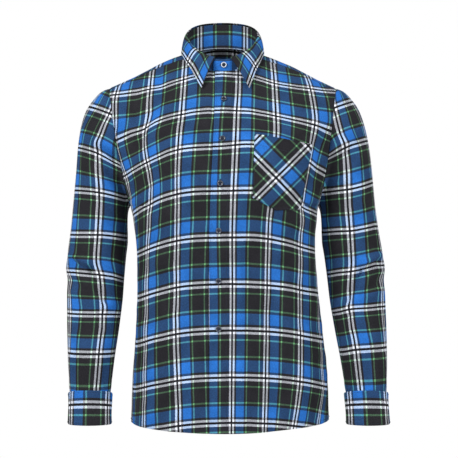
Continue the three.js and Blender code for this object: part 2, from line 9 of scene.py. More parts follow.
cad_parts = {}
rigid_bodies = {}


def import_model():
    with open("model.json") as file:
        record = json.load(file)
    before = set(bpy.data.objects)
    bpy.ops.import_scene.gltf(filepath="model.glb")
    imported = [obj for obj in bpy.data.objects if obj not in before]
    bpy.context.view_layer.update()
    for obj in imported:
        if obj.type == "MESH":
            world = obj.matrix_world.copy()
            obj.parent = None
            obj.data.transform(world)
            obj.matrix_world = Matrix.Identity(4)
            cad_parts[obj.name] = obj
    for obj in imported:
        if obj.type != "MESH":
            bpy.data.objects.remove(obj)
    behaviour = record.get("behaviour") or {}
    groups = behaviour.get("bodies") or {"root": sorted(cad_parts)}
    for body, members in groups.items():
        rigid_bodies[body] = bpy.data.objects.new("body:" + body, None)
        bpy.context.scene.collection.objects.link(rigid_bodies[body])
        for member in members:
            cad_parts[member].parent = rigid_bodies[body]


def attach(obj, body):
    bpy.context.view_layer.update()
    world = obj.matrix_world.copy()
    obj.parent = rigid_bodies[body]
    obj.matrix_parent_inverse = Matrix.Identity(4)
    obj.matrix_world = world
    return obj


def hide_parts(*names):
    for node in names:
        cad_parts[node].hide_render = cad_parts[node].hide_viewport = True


bl_info = {
    "name": "Checked flannel shirt",
    "version": (1, 0, 0),
    "blender": (4, 5, 0),
    "location": "3D View > Sidebar > Shirt",
    "description": "Dresses the frame of a filled-out flannel shirt piece by piece",
    "category": "Object",
}

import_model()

# Lengths below are millimetres until a mesh is made. +Z is up, the front faces -Y,
# and the wearer's left is +X, as in the frame.
MM = 0.001
SEAM_GAP = 0.3
LAP = 1.8
CLOSING_HALF = 18
CLOSING_DRIFT = -10.5
DRIFT_TOP = -60
DRIFT_LENGTH = 320
BODY_SWAY = 12
SWAY_TOP = -230
SWAY_LENGTH = 420
LEAN = 3
LEAN_BOTTOM = -240
LEAN_LENGTH = 140
HEM_LIFT = 5
UNDERARM = np.array([191.0, 6.0, -298.0])
SHOULDER = np.array([230.5, 8.0, -57.5])
ARMHOLE_DEPTH = 60
ARMHOLE_BOW = 0.8
NECK = {"x": -3, "y": 10, "half_width": 72, "half_depth": 54}
STAND_BOTTOM = (-36, 2, 30)
STAND_TOP = (-3, 49, 80.5)
STAND_CORNER = 9
LEAF_START = 15.5
LEAF_LIFT = 2.6
LEAF_GRIP = 1.2
LEAF_SEAM = 6
HOLE_LENGTH = 16
TIP_SHIFT = 6
CUFF = {
    "x": 269, "top_y": -41.5, "top_z": -674.5, "length": 61, "half_width": 44,
    "half_depth": 40.6, "lean": 0.22, "lap_start": 215, "lap_angle": 35,
}
CUFF_DROP = 0.9
LEFT_SWING = 18
SWING_TOP = -300
SWING_LENGTH = 400
HEM_FRONT = -448
YOKE_FRONT = 165
YOKE_BACK = 240
HEM_BACK = 808
SIDE_HANDLE = 0.36
ROW_SAMPLES = 97
GRID_STEP = 4.6


def table(columns, rows):
    """Turns rows of numbers into one array for each column."""
    return dict(zip(columns, np.array(rows, dtype=float).T))


# One half of the body, row by row, from the front hem up to the underarm (0), round the
# armhole (180 is the shoulder) and down the back.
BODY = table(
    ["at", "midY", "midZ", "sideX", "sideZ", "turn", "fall", "crown"],
    [
        [-448, -134, -746, 202, -738, 90, 0, 0.49],
        [-352, -131, -650, 199, -650, 90, 0, 0.49],
        [-252, -127, -550, 190.5, -550, 90, 0, 0.49],
        [-152, -128, -450, 183.5, -450, 90, 0, 0.49],
        [-87, -136, -385, 182, -385, 90, 0, 0.49],
        [0, -146, -298, 191, -298, 90, 0, 0.49],
        [30, -145, -260, 191, -298, 80, 0, 0.49],
        [60, -140, -213, 191, -298, 66, 0, 0.48],
        [90, -128, -163, 191, -298, 52, 4, 0.46],
        [120, -101, -104, 191, -298, 34, 12, 0.42],
        [135, -79, -72, 191, -298, 23, 17, 0.4],
        [150, -40, -20, 191, -298, 10, 22, 0.38],
        [165, -10, 12, 191, -298, 4, 23, 0.36],
        [180, 18, 25, 191, -298, 0, 24, 0.36],
        [195, 42, 32, 191, -298, 4, 23, 0.36],
        [210, 64, 34, 191, -298, 10, 21, 0.38],
        [225, 91, 2, 191, -298, 20, 17, 0.4],
        [240, 108, -68, 191, -298, 32, 12, 0.42],
        [270, 119, -155, 191, -298, 50, 4, 0.46],
        [300, 123, -215, 191, -298, 66, 0, 0.48],
        [330, 123, -262, 191, -298, 80, 0, 0.49],
        [360, 120, -298, 191, -298, 90, 0, 0.49],
        [447, 109, -385, 182, -385, 90, 0, 0.49],
        [512, 105, -450, 183.5, -450, 90, 0, 0.49],
        [612, 108, -550, 190.5, -550, 90, 0, 0.49],
        [712, 117, -650, 199, -650, 90, 0, 0.49],
        [808, 124, -757, 202, -738, 90, 0, 0.49],
    ],
)
# One sleeve, ring by ring from the armhole to the wrist.
SLEEVE = table(
    ["at", "innerX", "innerZ", "outerX", "outerZ", "midY", "depth", "tip", "bow"],
    [
        [0, 191, -298, 230.5, -57.5, 8, 60, 0, 0.8],
        [1, 193, -300.5, 247, -65.5, 8, 61, 0, 0.85],
        [2, 195, -304, 263, -81.8, 8, 62.5, 0, 0.9],
        [3, 196.3, -309, 277.5, -103, 8.5, 64, 0, 0.95],
        [4, 197.3, -316, 290, -139, 9, 65, 0, 1],
        [5, 197.8, -326, 297.5, -178, 10, 65, 0, 1],
        [6, 197.8, -340, 303.5, -232, 11, 65, 0, 1],
        [7, 197.2, -355, 308.5, -285, 12, 64, 0, 1],
        [8, 197, -372, 313.5, -345, 12, 63, 0, 1],
        [9, 200, -402, 319, -398, 12, 61, 0, 1],
        [10, 203, -440, 318, -440, 10, 60, 0.02, 1],
        [11, 206.5, -484, 320.3, -480, 4, 58, 0.06, 1],
        [12, 213.5, -547, 318.5, -545, -10, 53, 0.12, 1],
        [13, 222, -611, 315.5, -611, -26, 47, 0.18, 1],
        [14, 228.6, -676, 309.4, -679, -42, 37.6, 0.22, 1],
    ],
)
# Lower edge of the collar leaf on the body, from a front tip round to the centre back.
LEAF_EDGE = table(
    ["at", "row", "across"],
    [
        [0, 136.7, 47], [0.12, 147.5, 63], [0.27, 160, 77], [0.42, 177, 84],
        [0.58, 195, 84], [0.74, 210, 74], [0.88, 219, 46], [1, 221, 0],
    ],
)

# Folds as lines seen from the front: x and z of both ends, width, rise (troughs below 0).
FRONT_FOLDS = [
    (-172, -175, -142, -112, 16, -5),
    (-142, -112, -112, -72, 14, -4),
    (190, -180, 166, -300, 15, -5),
    (64, -420, 70, -735, 18, 4),
    (-96, -520, -110, -735, 22, 4),
    (150, -560, 160, -735, 20, 3.5),
    (-165, -300, -120, -420, 20, 3),
]
BACK_FOLDS = [
    (-60, -300, -48, -740, 24, 4),
    (72, -360, 84, -740, 26, 4),
    (150, -180, 110, -330, 20, 3.5),
    (-150, -190, -112, -340, 20, 3.5),
]
# Folds of a sleeve: around and height of both ends, width, rise.
SLEEVE_FOLDS = [
    (178, -424, 120, -436, 18, 4),
    (150, -446, 60, -486, 12, -4.5),
    (110, -462, 20, -508, 12, 4),
    (230, -420, 300, -470, 13, 4),
    (250, -452, 330, -498, 12, -4),
    (40, -232, 110, -196, 15, -4.5),
    (320, -240, 250, -200, 15, -4),
    (120, -560, 80, -640, 16, 3),
    (200, -540, 220, -640, 16, 3),
]
FOLD_GIRTH = 60
# Finer creases that only the cloth has.
FRONT_CREASES = [
    (-186, -214, -160, -150, 8, -2.2),
    (-150, -150, -120, -96, 8, 1.8),
    (-188, -250, -150, -262, 9, -2),
    (-176, -292, -128, -330, 10, 1.8),
    (186, -150, 176, -232, 8, 2),
    (178, -250, 140, -292, 9, -1.8),
    (176, -320, 128, -352, 10, 1.6),
    (44, -380, 50, -738, 8, -5.5),
    (-20, -300, -26, -560, 12, -2.5),
    (104, -330, 96, -560, 12, -2.5),
    (92, -500, 98, -738, 11, -2),
    (126, -430, 132, -560, 12, 1.6),
    (182, -600, 190, -738, 10, 2),
    (-64, -560, -70, -738, 10, -1.8),
    (-138, -560, -150, -738, 12, 2.2),
    (-178, -520, -184, -738, 11, -2),
    (-34, -96, -60, -62, 9, 1.4),
    (40, -92, 74, -58, 9, 1.4),
]
BACK_CREASES = [
    (-170, -210, -128, -260, 10, -2),
    (170, -205, 126, -262, 10, -2),
    (-120, -160, -80, -210, 14, 1.8),
    (118, -158, 76, -214, 14, 1.8),
    (-20, -380, -10, -740, 14, -2),
    (30, -420, 40, -740, 13, 2),
    (-120, -420, -124, -740, 13, -2),
    (128, -440, 134, -740, 13, -2),
    (-176, -460, -184, -738, 12, 2),
    (178, -480, 186, -738, 12, 2),
]
SLEEVE_CREASES = [
    (143, -409, 100, -429, 6, -7.5),
    (100, -429, 66, -490, 6, -8),
    (150, -398, 104, -414, 7, 5.5),
    (92, -456, 58, -510, 7, 3.5),
    (104, -186, 46, -230, 7, -8),
    (112, -170, 50, -206, 9, 5),
    (78, -236, 40, -262, 8, -6),
    (128, -128, 140, -170, 9, -3),
    (70, -300, 130, -284, 9, -1.6),
    (30, -268, 92, -238, 9, 2),
    (20, -330, 96, -312, 10, 1.8),
    (150, -140, 120, -210, 10, 1.6),
    (60, -520, 130, -498, 7, -2),
    (96, -440, 150, -420, 8, -2.4),
    (84, -486, 140, -470, 7, 2),
    (60, -548, 110, -530, 8, 1.8),
    (300, -520, 240, -498, 8, -2),
    (262, -300, 300, -330, 10, -2),
    (100, -600, 96, -668, 7, -1.6),
    (60, -610, 54, -668, 7, 1.6),
    (150, -600, 156, -668, 7, 1.8),
    (262, -600, 268, -668, 7, -2),
    (290, -590, 300, -668, 7, 2),
]


def smoothstep(low, high, value):
    t = np.clip((value - low) / (high - low), 0, 1)
    return t * t * (3 - 2 * t)


def column(rows, name, at):
    """Smooth curve through a table's column that never swings past its own values."""
    x, y = rows["at"], rows[name]
    slope = np.diff(y) / np.diff(x)
    before, after = slope[:-1], slope[1:]
    same = before * after > 0
    total = np.where(same, before + after, 1)
    middle = np.where(same, 2 * before * after / total, 0)
    tangent = np.concatenate([[slope[0]], middle, [slope[-1]]])
    at = np.asarray(at, dtype=float)
    i = np.clip(np.searchsorted(x, at, side="right") - 1, 0, len(x) - 2)
    span = x[i + 1] - x[i]
    t = np.clip((at - x[i]) / span, 0, 1)
    return (
        y[i] * (2 * t**3 - 3 * t**2 + 1)
        + tangent[i] * span * (t**3 - 2 * t**2 + t)
        + y[i + 1] * (3 * t**2 - 2 * t**3)
        + tangent[i + 1] * span * (t**3 - t**2)
    )


def fold_rise(u, v, folds, squeeze=1):
    """Height of a set of folds at points (u, v)."""
    rise = np.zeros(np.shape(u))
    for u1, v1, u2, v2, width, height in folds:
        du, dv = (u2 - u1) * squeeze, v2 - v1
        t = np.clip(((u - u1 * squeeze) * du + (v - v1) * dv) / (du * du + dv * dv), 0, 1)
        distance = np.hypot(u - u1 * squeeze - t * du, v - v1 - t * dv)
        rise += height * np.exp(-((distance / width) ** 2))
    return rise


def ripple(u, v, seed, wavelength, height):
    """Gentle unevenness: a few waves in chosen directions, the same on every run."""
    rng = np.random.default_rng(seed)
    total = np.zeros(np.shape(u))
    for _ in range(7):
        turn = rng.uniform(0, math.pi)
        length = wavelength * rng.uniform(0.6, 1.6)
        phase = rng.uniform(0, 2 * math.pi)
        total += np.sin((u * math.cos(turn) + v * math.sin(turn)) * 2 * math.pi / length + phase)
    return total * height / 2.6


def unit(vectors):
    return vectors / np.maximum(np.linalg.norm(vectors, axis=-1, keepdims=True), 1e-12)


def armhole_point(angle):
    turn = np.radians(angle)
    up = (1 - np.cos(turn)) / 2
    span = SHOULDER - UNDERARM
    return np.stack(
        [
            UNDERARM[0] + span[0] * up**ARMHOLE_BOW,
            UNDERARM[1] + span[1] * up - ARMHOLE_DEPTH * np.sin(turn),
            UNDERARM[2] + span[2] * up,
        ],
        -1,
    )


def body_rows(at):
    """Body rows from the centre line to the side: fine polylines and the distance along them."""
    centre = np.stack([np.zeros(len(at)), column(BODY, "midY", at), column(BODY, "midZ", at)], -1)
    plain = np.stack(
        [column(BODY, "sideX", at), np.full(len(at), UNDERARM[1]), column(BODY, "sideZ", at)], -1
    )
    on_armhole = ((at > 0) & (at < 360))[:, None]
    side = np.where(on_armhole, armhole_point(np.clip(at, 0, 360)), plain)
    reach = np.linalg.norm(side - centre, axis=1)[:, None]
    turn = np.radians(column(BODY, "turn", at))
    fall = np.radians(column(BODY, "fall", at))
    backwards = np.where(at > 180, -1, 1)
    arrive = np.stack(
        [np.cos(turn) * np.cos(fall), backwards * np.sin(turn), -np.sin(fall) * np.cos(turn)], -1
    )
    first = centre + reach * column(BODY, "crown", at)[:, None] * np.array([1, 0, 0])
    second = side - SIDE_HANDLE * reach * arrive
    t = np.linspace(0, 1, ROW_SAMPLES)[None, :, None]
    points = (
        (1 - t) ** 3 * centre[:, None]
        + 3 * (1 - t) ** 2 * t * first[:, None]
        + 3 * (1 - t) * t**2 * second[:, None]
        + t**3 * side[:, None]
    )
    steps = np.linalg.norm(np.diff(points, axis=1), axis=2)
    along = np.concatenate([np.zeros((len(at), 1)), np.cumsum(steps, axis=1)], axis=1)
    return points, along


def row_length(at):
    at = np.asarray(at, dtype=float)
    return body_rows(at.ravel())[1][:, -1].reshape(at.shape)


def lean(z):
    return LEAN * smoothstep(0, LEAN_LENGTH, z - LEAN_BOTTOM)


def body_sway(z):
    return BODY_SWAY * smoothstep(0, SWAY_LENGTH, SWAY_TOP - z) - lean(z)


def smooth_body(at, across):
    """Points of the smooth body, a distance across from the centre line."""
    at, across = np.broadcast_arrays(np.asarray(at, float), np.asarray(across, float))
    flat_at, flat_across = at.ravel(), across.ravel()
    rows, which = np.unique(flat_at, return_inverse=True)
    points, along = body_rows(rows)
    steps = along[which]
    distance = np.minimum(np.abs(flat_across), steps[:, -1])
    i = np.clip((steps <= distance[:, None]).sum(1) - 1, 0, ROW_SAMPLES - 2)
    n = np.arange(len(flat_at))
    t = ((distance - steps[n, i]) / (steps[n, i + 1] - steps[n, i]))[:, None]
    result = points[which, i] * (1 - t) + points[which, i + 1] * t
    result[:, 0] *= np.where(flat_across < 0, -1, 1)
    result[:, 0] += body_sway(result[:, 2])
    lift = smoothstep(0, 190, result[:, 0]) * smoothstep(620, 740, -result[:, 2])
    result[:, 2] += HEM_LIFT * lift
    return result.reshape(at.shape + (3,))


def body_normal(at, across):
    at, across = np.broadcast_arrays(np.asarray(at, float), np.asarray(across, float))
    length = row_length(at)
    near = np.clip(across, 1.5 - length, length - 1.5)
    before, after = np.maximum(HEM_FRONT, at - 0.8), np.minimum(HEM_BACK, at + 0.8)
    sideways = smooth_body(at, near + 1.5) - smooth_body(at, near - 1.5)
    share = near / length
    upwards = smooth_body(after, share * row_length(after)) - smooth_body(
        before, share * row_length(before)
    )
    return unit(np.cross(sideways, upwards))


def body_point(at, across, out=0.0, fine=False):
    """Points of the folded body, moved out along its normal; fine adds the cloth's own creases."""
    at, across = np.broadcast_arrays(np.asarray(at, float), np.asarray(across, float))
    point = smooth_body(at, across)
    x, z = point[..., 0], point[..., 2]
    front = at < 180
    edge = smoothstep(0, 30, row_length(at) - np.abs(across))
    rise = edge * np.where(front, fold_rise(x, z, FRONT_FOLDS), fold_rise(x, z, BACK_FOLDS))
    if fine:
        creases = np.where(front, fold_rise(x, z, FRONT_CREASES), fold_rise(x, z, BACK_CREASES))
        rise = rise + edge * creases * smoothstep(0, 14, np.abs(across - closing_line(z)) - 14)
        rise = rise + edge * ripple(across, at, 5, 120, 0.9) + ripple(across, at, 8, 38, 0.25)
    return point + body_normal(at, across) * (rise + out)[..., None]


def closing_line(z):
    """Where the front closing's centre line lies at a height, as a distance across."""
    return CLOSING_DRIFT * smoothstep(0, DRIFT_LENGTH, DRIFT_TOP - z) - body_sway(z)


def front_at(x, z):
    """Body row and distance across of points of the front, seen from the front."""
    low = np.full(np.shape(x), float(HEM_FRONT))
    high = np.full(np.shape(x), float(YOKE_FRONT))
    for _ in range(22):
        middle = (low + high) / 2
        below = smooth_body(middle, across_at(middle, x))[..., 2] < z
        low, high = np.where(below, middle, low), np.where(below, high, middle)
    return middle, across_at(middle, x)


def across_at(at, x):
    """Distance across at which a body row reaches an x."""
    reach = row_length(at)
    low, high = -reach, reach
    for _ in range(22):
        middle = (low + high) / 2
        short = smooth_body(at, middle)[..., 0] < x
        low, high = np.where(short, middle, low), np.where(short, high, middle)
    return middle


def smooth_sleeve(side, ring, around):
    turn = np.radians(around)
    out = (1 - np.cos(turn)) / 2
    value = {name: column(SLEEVE, name, ring) for name in SLEEVE if name != "at"}
    depth = value["depth"] * np.sin(turn)
    x = value["innerX"] + (value["outerX"] - value["innerX"]) * out ** value["bow"]
    z = value["innerZ"] + (value["outerZ"] - value["innerZ"]) * out + value["tip"] * depth
    swing = LEFT_SWING * np.maximum(0, (SWING_TOP - z) / SWING_LENGTH) if side > 0 else 0
    return np.stack([side * x + swing - lean(z), value["midY"] - depth, z], -1)


def sleeve_normal(side, ring, around):
    before, after = np.maximum(0, ring - 0.04), np.minimum(14, ring + 0.04)
    along = smooth_sleeve(side, after, around) - smooth_sleeve(side, before, around)
    across = smooth_sleeve(side, ring, around + 2) - smooth_sleeve(side, ring, around - 2)
    return unit(np.cross(along, across)) * side


def sleeve_point(side, ring, around, out=0.0, fine=False):
    point = smooth_sleeve(side, ring, around)
    z = point[..., 2]
    scale = FOLD_GIRTH * math.pi / 180
    rise = fold_rise(around * scale, z, SLEEVE_FOLDS, scale)
    if fine:
        rise = rise + fold_rise(around * scale, z, SLEEVE_CREASES, scale)
        wave = np.radians(around)
        rise = rise + smoothstep(-500, -440, z) * 0.8 * np.sin(3 * wave + z / 60)
        gather = smoothstep(-640, -672, z)
        rise = rise + gather * (1.1 * np.sin(11 * wave + side) + 0.6 * np.sin(17 * wave))
        rise = rise * smoothstep(0, 0.8, ring) * (1 - 0.7 * smoothstep(13.7, 14, ring))
    seam = smooth_body(around % 360, side * row_length(around % 360))
    start = smooth_sleeve(side, np.zeros_like(ring), around)
    join = (seam - start) * (1 - smoothstep(0, 1, ring))[..., None]
    return point + join + sleeve_normal(side, ring, around) * (rise + out)[..., None]


def around_neck(heights, angle):
    front, side, back = heights
    c = np.cos(angle)
    return (front + back) / 2 + (front - back) / 2 * c + (side - (front + back) / 2) * (1 - c * c)


def neck_point(angle, out, z):
    x = NECK["x"] + (NECK["half_width"] + out) * np.sin(angle)
    y = NECK["y"] - (NECK["half_depth"] + out) * np.cos(angle)
    return np.stack(np.broadcast_arrays(x, y, z), -1)


def cuff_point(side, around, level, out):
    turn = np.radians(around)
    middle_z = CUFF["top_z"] - CUFF["length"] * level
    x = CUFF["x"] - (CUFF["half_width"] + out) * np.cos(turn)
    depth = (CUFF["half_depth"] + out) * np.sin(turn)
    swing = LEFT_SWING * ((SWING_TOP - middle_z) / SWING_LENGTH) if side > 0 else 0
    y = CUFF["top_y"] - CUFF["lean"] * CUFF["length"] * level - depth
    rim = CUFF["lean"] * (1 - CUFF_DROP * level**2)
    return np.stack(np.broadcast_arrays(side * x + swing, y, middle_z + rim * depth), -1)


# ---------------------------------------------------------------- cloth meshes

CLOTH_MAP = "Cloth"


def clip_cells(points, cells, corners, keep):
    """Trims cells where keep is negative: returns points, cells and cloth corners."""
    points = list(map(tuple, points))
    made = {}
    new_cells, new_corners = [], []
    for cell, corner in zip(cells, corners):
        level = keep[cell]
        if (level > 0).all():
            new_cells.append(list(cell))
            new_corners.extend(corner)
            continue
        if (level <= 0).all():
            continue
        shape, spots = [], []
        for k in range(len(cell)):
            a, b = cell[k], cell[(k + 1) % len(cell)]
            if keep[a] > 0:
                shape.append(a)
                spots.append(corner[k])
            if (keep[a] > 0) != (keep[b] > 0):
                t = keep[a] / (keep[a] - keep[b])
                key = (min(a, b), max(a, b))
                if key not in made:
                    made[key] = len(points)
                    start, end = np.array(points[a]), np.array(points[b])
                    points.append(tuple(start + (end - start) * t))
                shape.append(made[key])
                spots.append(corner[k] + (corner[(k + 1) % len(cell)] - corner[k]) * t)
        new_cells.append(shape)
        new_corners.extend(spots)
    return np.array(points), new_cells, np.array(new_corners)


def cloth_piece(name, points, cloth, outward, thick, keep=None, shift=None, bevel=0.0):
    """A cloth panel from a grid of points with its own cloth coordinates, both in millimetres.
    keep is a value at each point, below 0 where the panel is cut away; shift moves the cloth
    coordinates of whole cells, where one layer of cloth meets another."""
    rows, columns = points.shape[:2]
    i, j = np.mgrid[0 : rows - 1, 0 : columns - 1]
    a = (i * columns + j).ravel()
    cells = np.stack([a, a + 1, a + columns + 1, a + columns], -1)
    flat = points.reshape(-1, 3)
    facing = np.cross(flat[cells[:, 1]] - flat[cells[:, 0]], flat[cells[:, 3]] - flat[cells[:, 0]])
    agree = (facing * outward.reshape(-1, 3)[cells[:, 0]]).sum()
    if agree < 0:
        cells = cells[:, ::-1]
    corners = cloth.reshape(-1, 2)[cells]
    if shift is not None:
        corners = corners + shift.reshape(-1, 1, 2)
    if keep is not None:
        flat, cells, corners = clip_cells(flat, cells, corners, keep.ravel())
        used = sorted({v for cell in cells for v in cell})
        place = {v: n for n, v in enumerate(used)}
        flat = flat[used]
        cells = [[place[v] for v in cell] for cell in cells]
        corners = corners.reshape(-1, 2)
    else:
        cells = cells.tolist()
        corners = corners.reshape(-1, 2)
    mesh = bpy.data.meshes.new(name)
    mesh.from_pydata((flat * MM).tolist(), [], cells)
    layer = mesh.uv_layers.new(name=CLOTH_MAP)
    layer.data.foreach_set("uv", (corners * MM).astype(np.float32).ravel())
    mesh.validate()
    piece = bpy.data.objects.new(name, mesh)
    bpy.context.scene.collection.objects.link(piece)
    wall = piece.modifiers.new("Cloth thickness", "SOLIDIFY")
    wall.thickness = thick * MM
    wall.offset = -1
    wall.use_even_offset = False
    if bevel:
        edge = piece.modifiers.new("Soft edge", "BEVEL")
        edge.width = bevel * MM
        edge.segments = 2
        edge.limit_method = "ANGLE"
        edge.angle_limit = math.radians(50)
    settle(piece)
    return piece


def settle(piece):
    """Turns a piece with modifiers into a plain smooth mesh, sharp only at its cut edges."""
    graph = bpy.context.evaluated_depsgraph_get()
    mesh = bpy.data.meshes.new_from_object(piece.evaluated_get(graph), depsgraph=graph)
    old = piece.data
    piece.modifiers.clear()
    piece.data = mesh
    mesh.name = piece.name
    bpy.data.meshes.remove(old)
    mesh.shade_smooth()
    mesh.set_sharp_from_angle(angle=math.radians(48))


def dress(piece, material, slot, *nodes):
    """Gives a piece its finish and its place in the frame."""
    piece.data.materials.clear()
    piece.data.materials.append(material)
    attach(piece, "root")
    if nodes:
        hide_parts(*nodes)


def stops(first, last, step):
    return np.linspace(first, last, max(2, int(round(abs(last - first) / step)) + 1))


# ---------------------------------------------------------------- checks on the cloth

WARP_REPEAT = 80
WEFT_REPEAT = 91
# Heights at the centre front of the white weft pairs, from the collar down.
FRONT_WEFT = table(
    ["at", "value"],
    [
        [-815, 9 * 91], [-724, 8 * 91], [-635.5, 7 * 91], [-544, 6 * 91], [-452.9, 5 * 91],
        [-361.7, 4 * 91], [-271, 3 * 91], [-183.4, 2 * 91], [-110.6, 91], [-34, 0],
        [30, -91], [90, -182],
    ],
)
# How far those rows fall away from the centre to the sides: one line for each height, one column
# for each distance from the centre.
DROP_REACH = np.array([0, 50, 80, 107, 130, 150, 175, 200, 225.0])
DROP_RIGHT = [
    (-800, [0, 2, 5, 9, 14, 18, 25, 33, 42]),
    (-453, [0, 2, 4.5, 9, 15, 21, 30, 39, 50]),
    (-271, [0, 1, 4, 10, 17.5, 28, 42, 56, 66]),
    (-183, [0, 2, 5, 12, 22.5, 31.5, 43, 54, 62]),
    (-110, [0, 4, 9, 14.5, 21.5, 31, 40, 40.5, 41]),
    (-34, [0, 4.5, 12.5, 21, 31.5, 32.7, 35, 37.5, 39.5]),
    (60, [0, 4.5, 12.5, 21, 27, 30, 33, 36, 38]),
]
DROP_LEFT = [
    (-800, [0, 1, 3, 6, 10, 13.5, 22, 32, 40]),
    (-453, [0, 1, 3, 6, 10, 15, 20, 27, 36]),
    (-271, [0, -1, 2, 9, 17, 28, 42, 54, 64]),
    (-183, [0, -4, -2, 3, 11, 19, 29, 41, 50]),
    (-110, [0, 1.5, 7, 13, 17.3, 20.5, 24, 27, 29]),
    (-34, [0, 3, 12, 22, 26.5, 29, 30.5, 32, 33]),
    (60, [0, 3, 12, 20, 25, 28, 30, 32, 33]),
]
# Places of the white warp pairs, as x seen from the front, and how far apart they lie.
WARP_RIGHT = table(
    ["at", "first", "second", "step"],
    [
        [-740, -88.5, -159.7, 70], [-464, -94, -156, 72], [-276, -92, -144.3, 76],
        [-245, -91.6, -146.8, 76], [-211, -90.5, -153.8, 78], [-164, -88, -160.8, 78],
        [-137, -85, -153.6, 78], [-107, -83.2, -150, 78], [-59, -79.7, -146, 76],
        [20, -76, -140, 74],
    ],
)
WARP_LEFT = table(
    ["at", "start", "step", "third"],
    [
        [-740, 25, 64.5, -4], [-645, 25.7, 66, 6], [-464, 27, 68.5, 6], [-390, 26.6, 71, 7],
        [-327, 26.3, 73.5, 5], [-270, 26, 76, 2], [-209, 25.7, 78.5, -1], [-155, 25.5, 80, 1.5],
        [-125, 25.5, 78.5, 6], [-61, 28, 73, 3], [20, 29, 71, 0],
    ],
)
PLACKET_SHIFT = -16.7


def fall_of_rows(spots, lines, reach, z):
    """How far a row of checks moves, from lines of falls at given heights."""
    heights = np.array([line[0] for line in lines], dtype=float)
    falls = [column({"at": spots, "fall": np.array(line[1], float)}, "fall", reach)
             for line in lines]
    i = np.clip(np.searchsorted(heights, z) - 1, 0, len(heights) - 2)
    t = np.clip((z - heights[i]) / (heights[i + 1] - heights[i]), 0, 1)
    falls = np.array(falls)
    lower = np.take_along_axis(falls, i[None], 0)[0]
    upper = np.take_along_axis(falls, i[None] + 1, 0)[0]
    return lower + (upper - lower) * t * t * (3 - 2 * t)


def front_weft(x, z):
    centre = body_sway(z)
    reach = np.abs(x - centre)
    right = fall_of_rows(DROP_REACH, DROP_RIGHT, reach, z)
    left = fall_of_rows(DROP_REACH, DROP_LEFT, reach, z)
    drop = np.where(x < centre, right, left)
    return -column(FRONT_WEFT, "value", z + drop)


def front_cloth(side, at, across):
    """Cloth coordinates on a front: warp stripes run down it, weft stripes across."""
    point = smooth_body(at, across)
    x, z = point[..., 0], point[..., 2]
    if side < 0:
        first = across_at(at[:, :1], column(WARP_RIGHT, "first", z[:, :1]))
        second = across_at(at[:, :1], column(WARP_RIGHT, "second", z[:, :1]))
        step = column(WARP_RIGHT, "step", z)
        inside = (across - first) / (first - second)
        beyond = -1 + (across - second) / step
        centre = (across - first) / step
        warp = np.where(across < second, beyond, np.where(across < first, inside, centre))
    else:
        step = column(WARP_LEFT, "step", z)
        warp = (across - closing_line(z) - column(WARP_LEFT, "start", z)) / step
        outer = step + column(WARP_LEFT, "third", z)
        warp = np.where(warp > 1, 1 + (warp - 1) * step / outer, warp)
    return np.stack([warp * WARP_REPEAT, front_weft(x, z)], -1)


# ---------------------------------------------------------------- materials


class Nodes:
    """A short way to write a node tree: add() makes a node, sets and joins its inputs."""

    def __init__(self, tree):
        self.tree = tree
        self.tree.nodes.clear()

    def add(self, kind, inputs=None, **settings):
        made = self.tree.nodes.new(kind)
        for name, value in settings.items():
            setattr(made, name, value)
        for name, value in (inputs or {}).items():
            if isinstance(value, bpy.types.NodeSocket):
                self.tree.links.new(value, made.inputs[name])
            else:
                made.inputs[name].default_value = value
        return made

    def math(self, operation, a, b=0.0, c=0.0, clamp=False):
        values = {0: a, 1: b, 2: c} if operation in ("MULTIPLY_ADD", "WRAP") else {0: a, 1: b}
        return self.add("ShaderNodeMath", values, operation=operation, use_clamp=clamp).outputs[0]

    def mix(self, factor, a, b, blend="MIX"):
        made = self.add("ShaderNodeMix", data_type="RGBA", blend_type=blend)
        for place, value in ((0, factor), (6, a), (7, b)):
            if isinstance(value, bpy.types.NodeSocket):
                self.tree.links.new(value, made.inputs[place])
            else:
                made.inputs[place].default_value = value
        return made.outputs[2]

    def noise(self, vector, scale, detail=2.0, rough=0.5):
        values = {"Vector": vector, "Scale": scale, "Detail": detail, "Roughness": rough}
        return self.add("ShaderNodeTexNoise", values).outputs["Fac"]

    def band(self, value, low, high, floor=0.0, ceiling=1.0):
        values = {"Value": value, "From Min": low, "From Max": high, "To Min": floor, "To Max": ceiling}
        return self.add("ShaderNodeMapRange", values).outputs[0]


def new_material(name):
    material = bpy.data.materials.new(name)
    material.use_nodes = True
    return material, Nodes(material.node_tree)


# The order of the yarns in one repeat, each from its start; it begins inside the black line
# that splits a white pair.
YARN_ORDER = [
    (0.0, "line"), (0.027, "white"), (0.078, "black"), (0.13, "blue"), (0.37, "black"),
    (0.425, "green"), (0.463, "black"), (0.782, "green"), (0.82, "black"), (0.922, "white"),
    (0.973, "line"),
]
# How strongly each yarn shows over the one that it crosses.
YARN_PULL = {"black": 0.27, "line": 1.0, "white": 0.35, "blue": 0.14, "green": 0.04}


def yarn_ramp(nodes, place, colours):
    """Colour and strength of the yarns across one repeat, from 0 to 1."""
    ramp = nodes.add("ShaderNodeValToRGB", {"Fac": place})
    ramp.color_ramp.interpolation = "CONSTANT"
    elements = ramp.color_ramp.elements
    elements[0].position = 0.0
    elements[0].color = (*colours["line"], YARN_PULL["line"])
    elements.remove(elements[1])
    for start, yarn in YARN_ORDER[1:]:
        made = elements.new(start)
        made.color = (*colours[yarn], YARN_PULL[yarn])
    return ramp.outputs


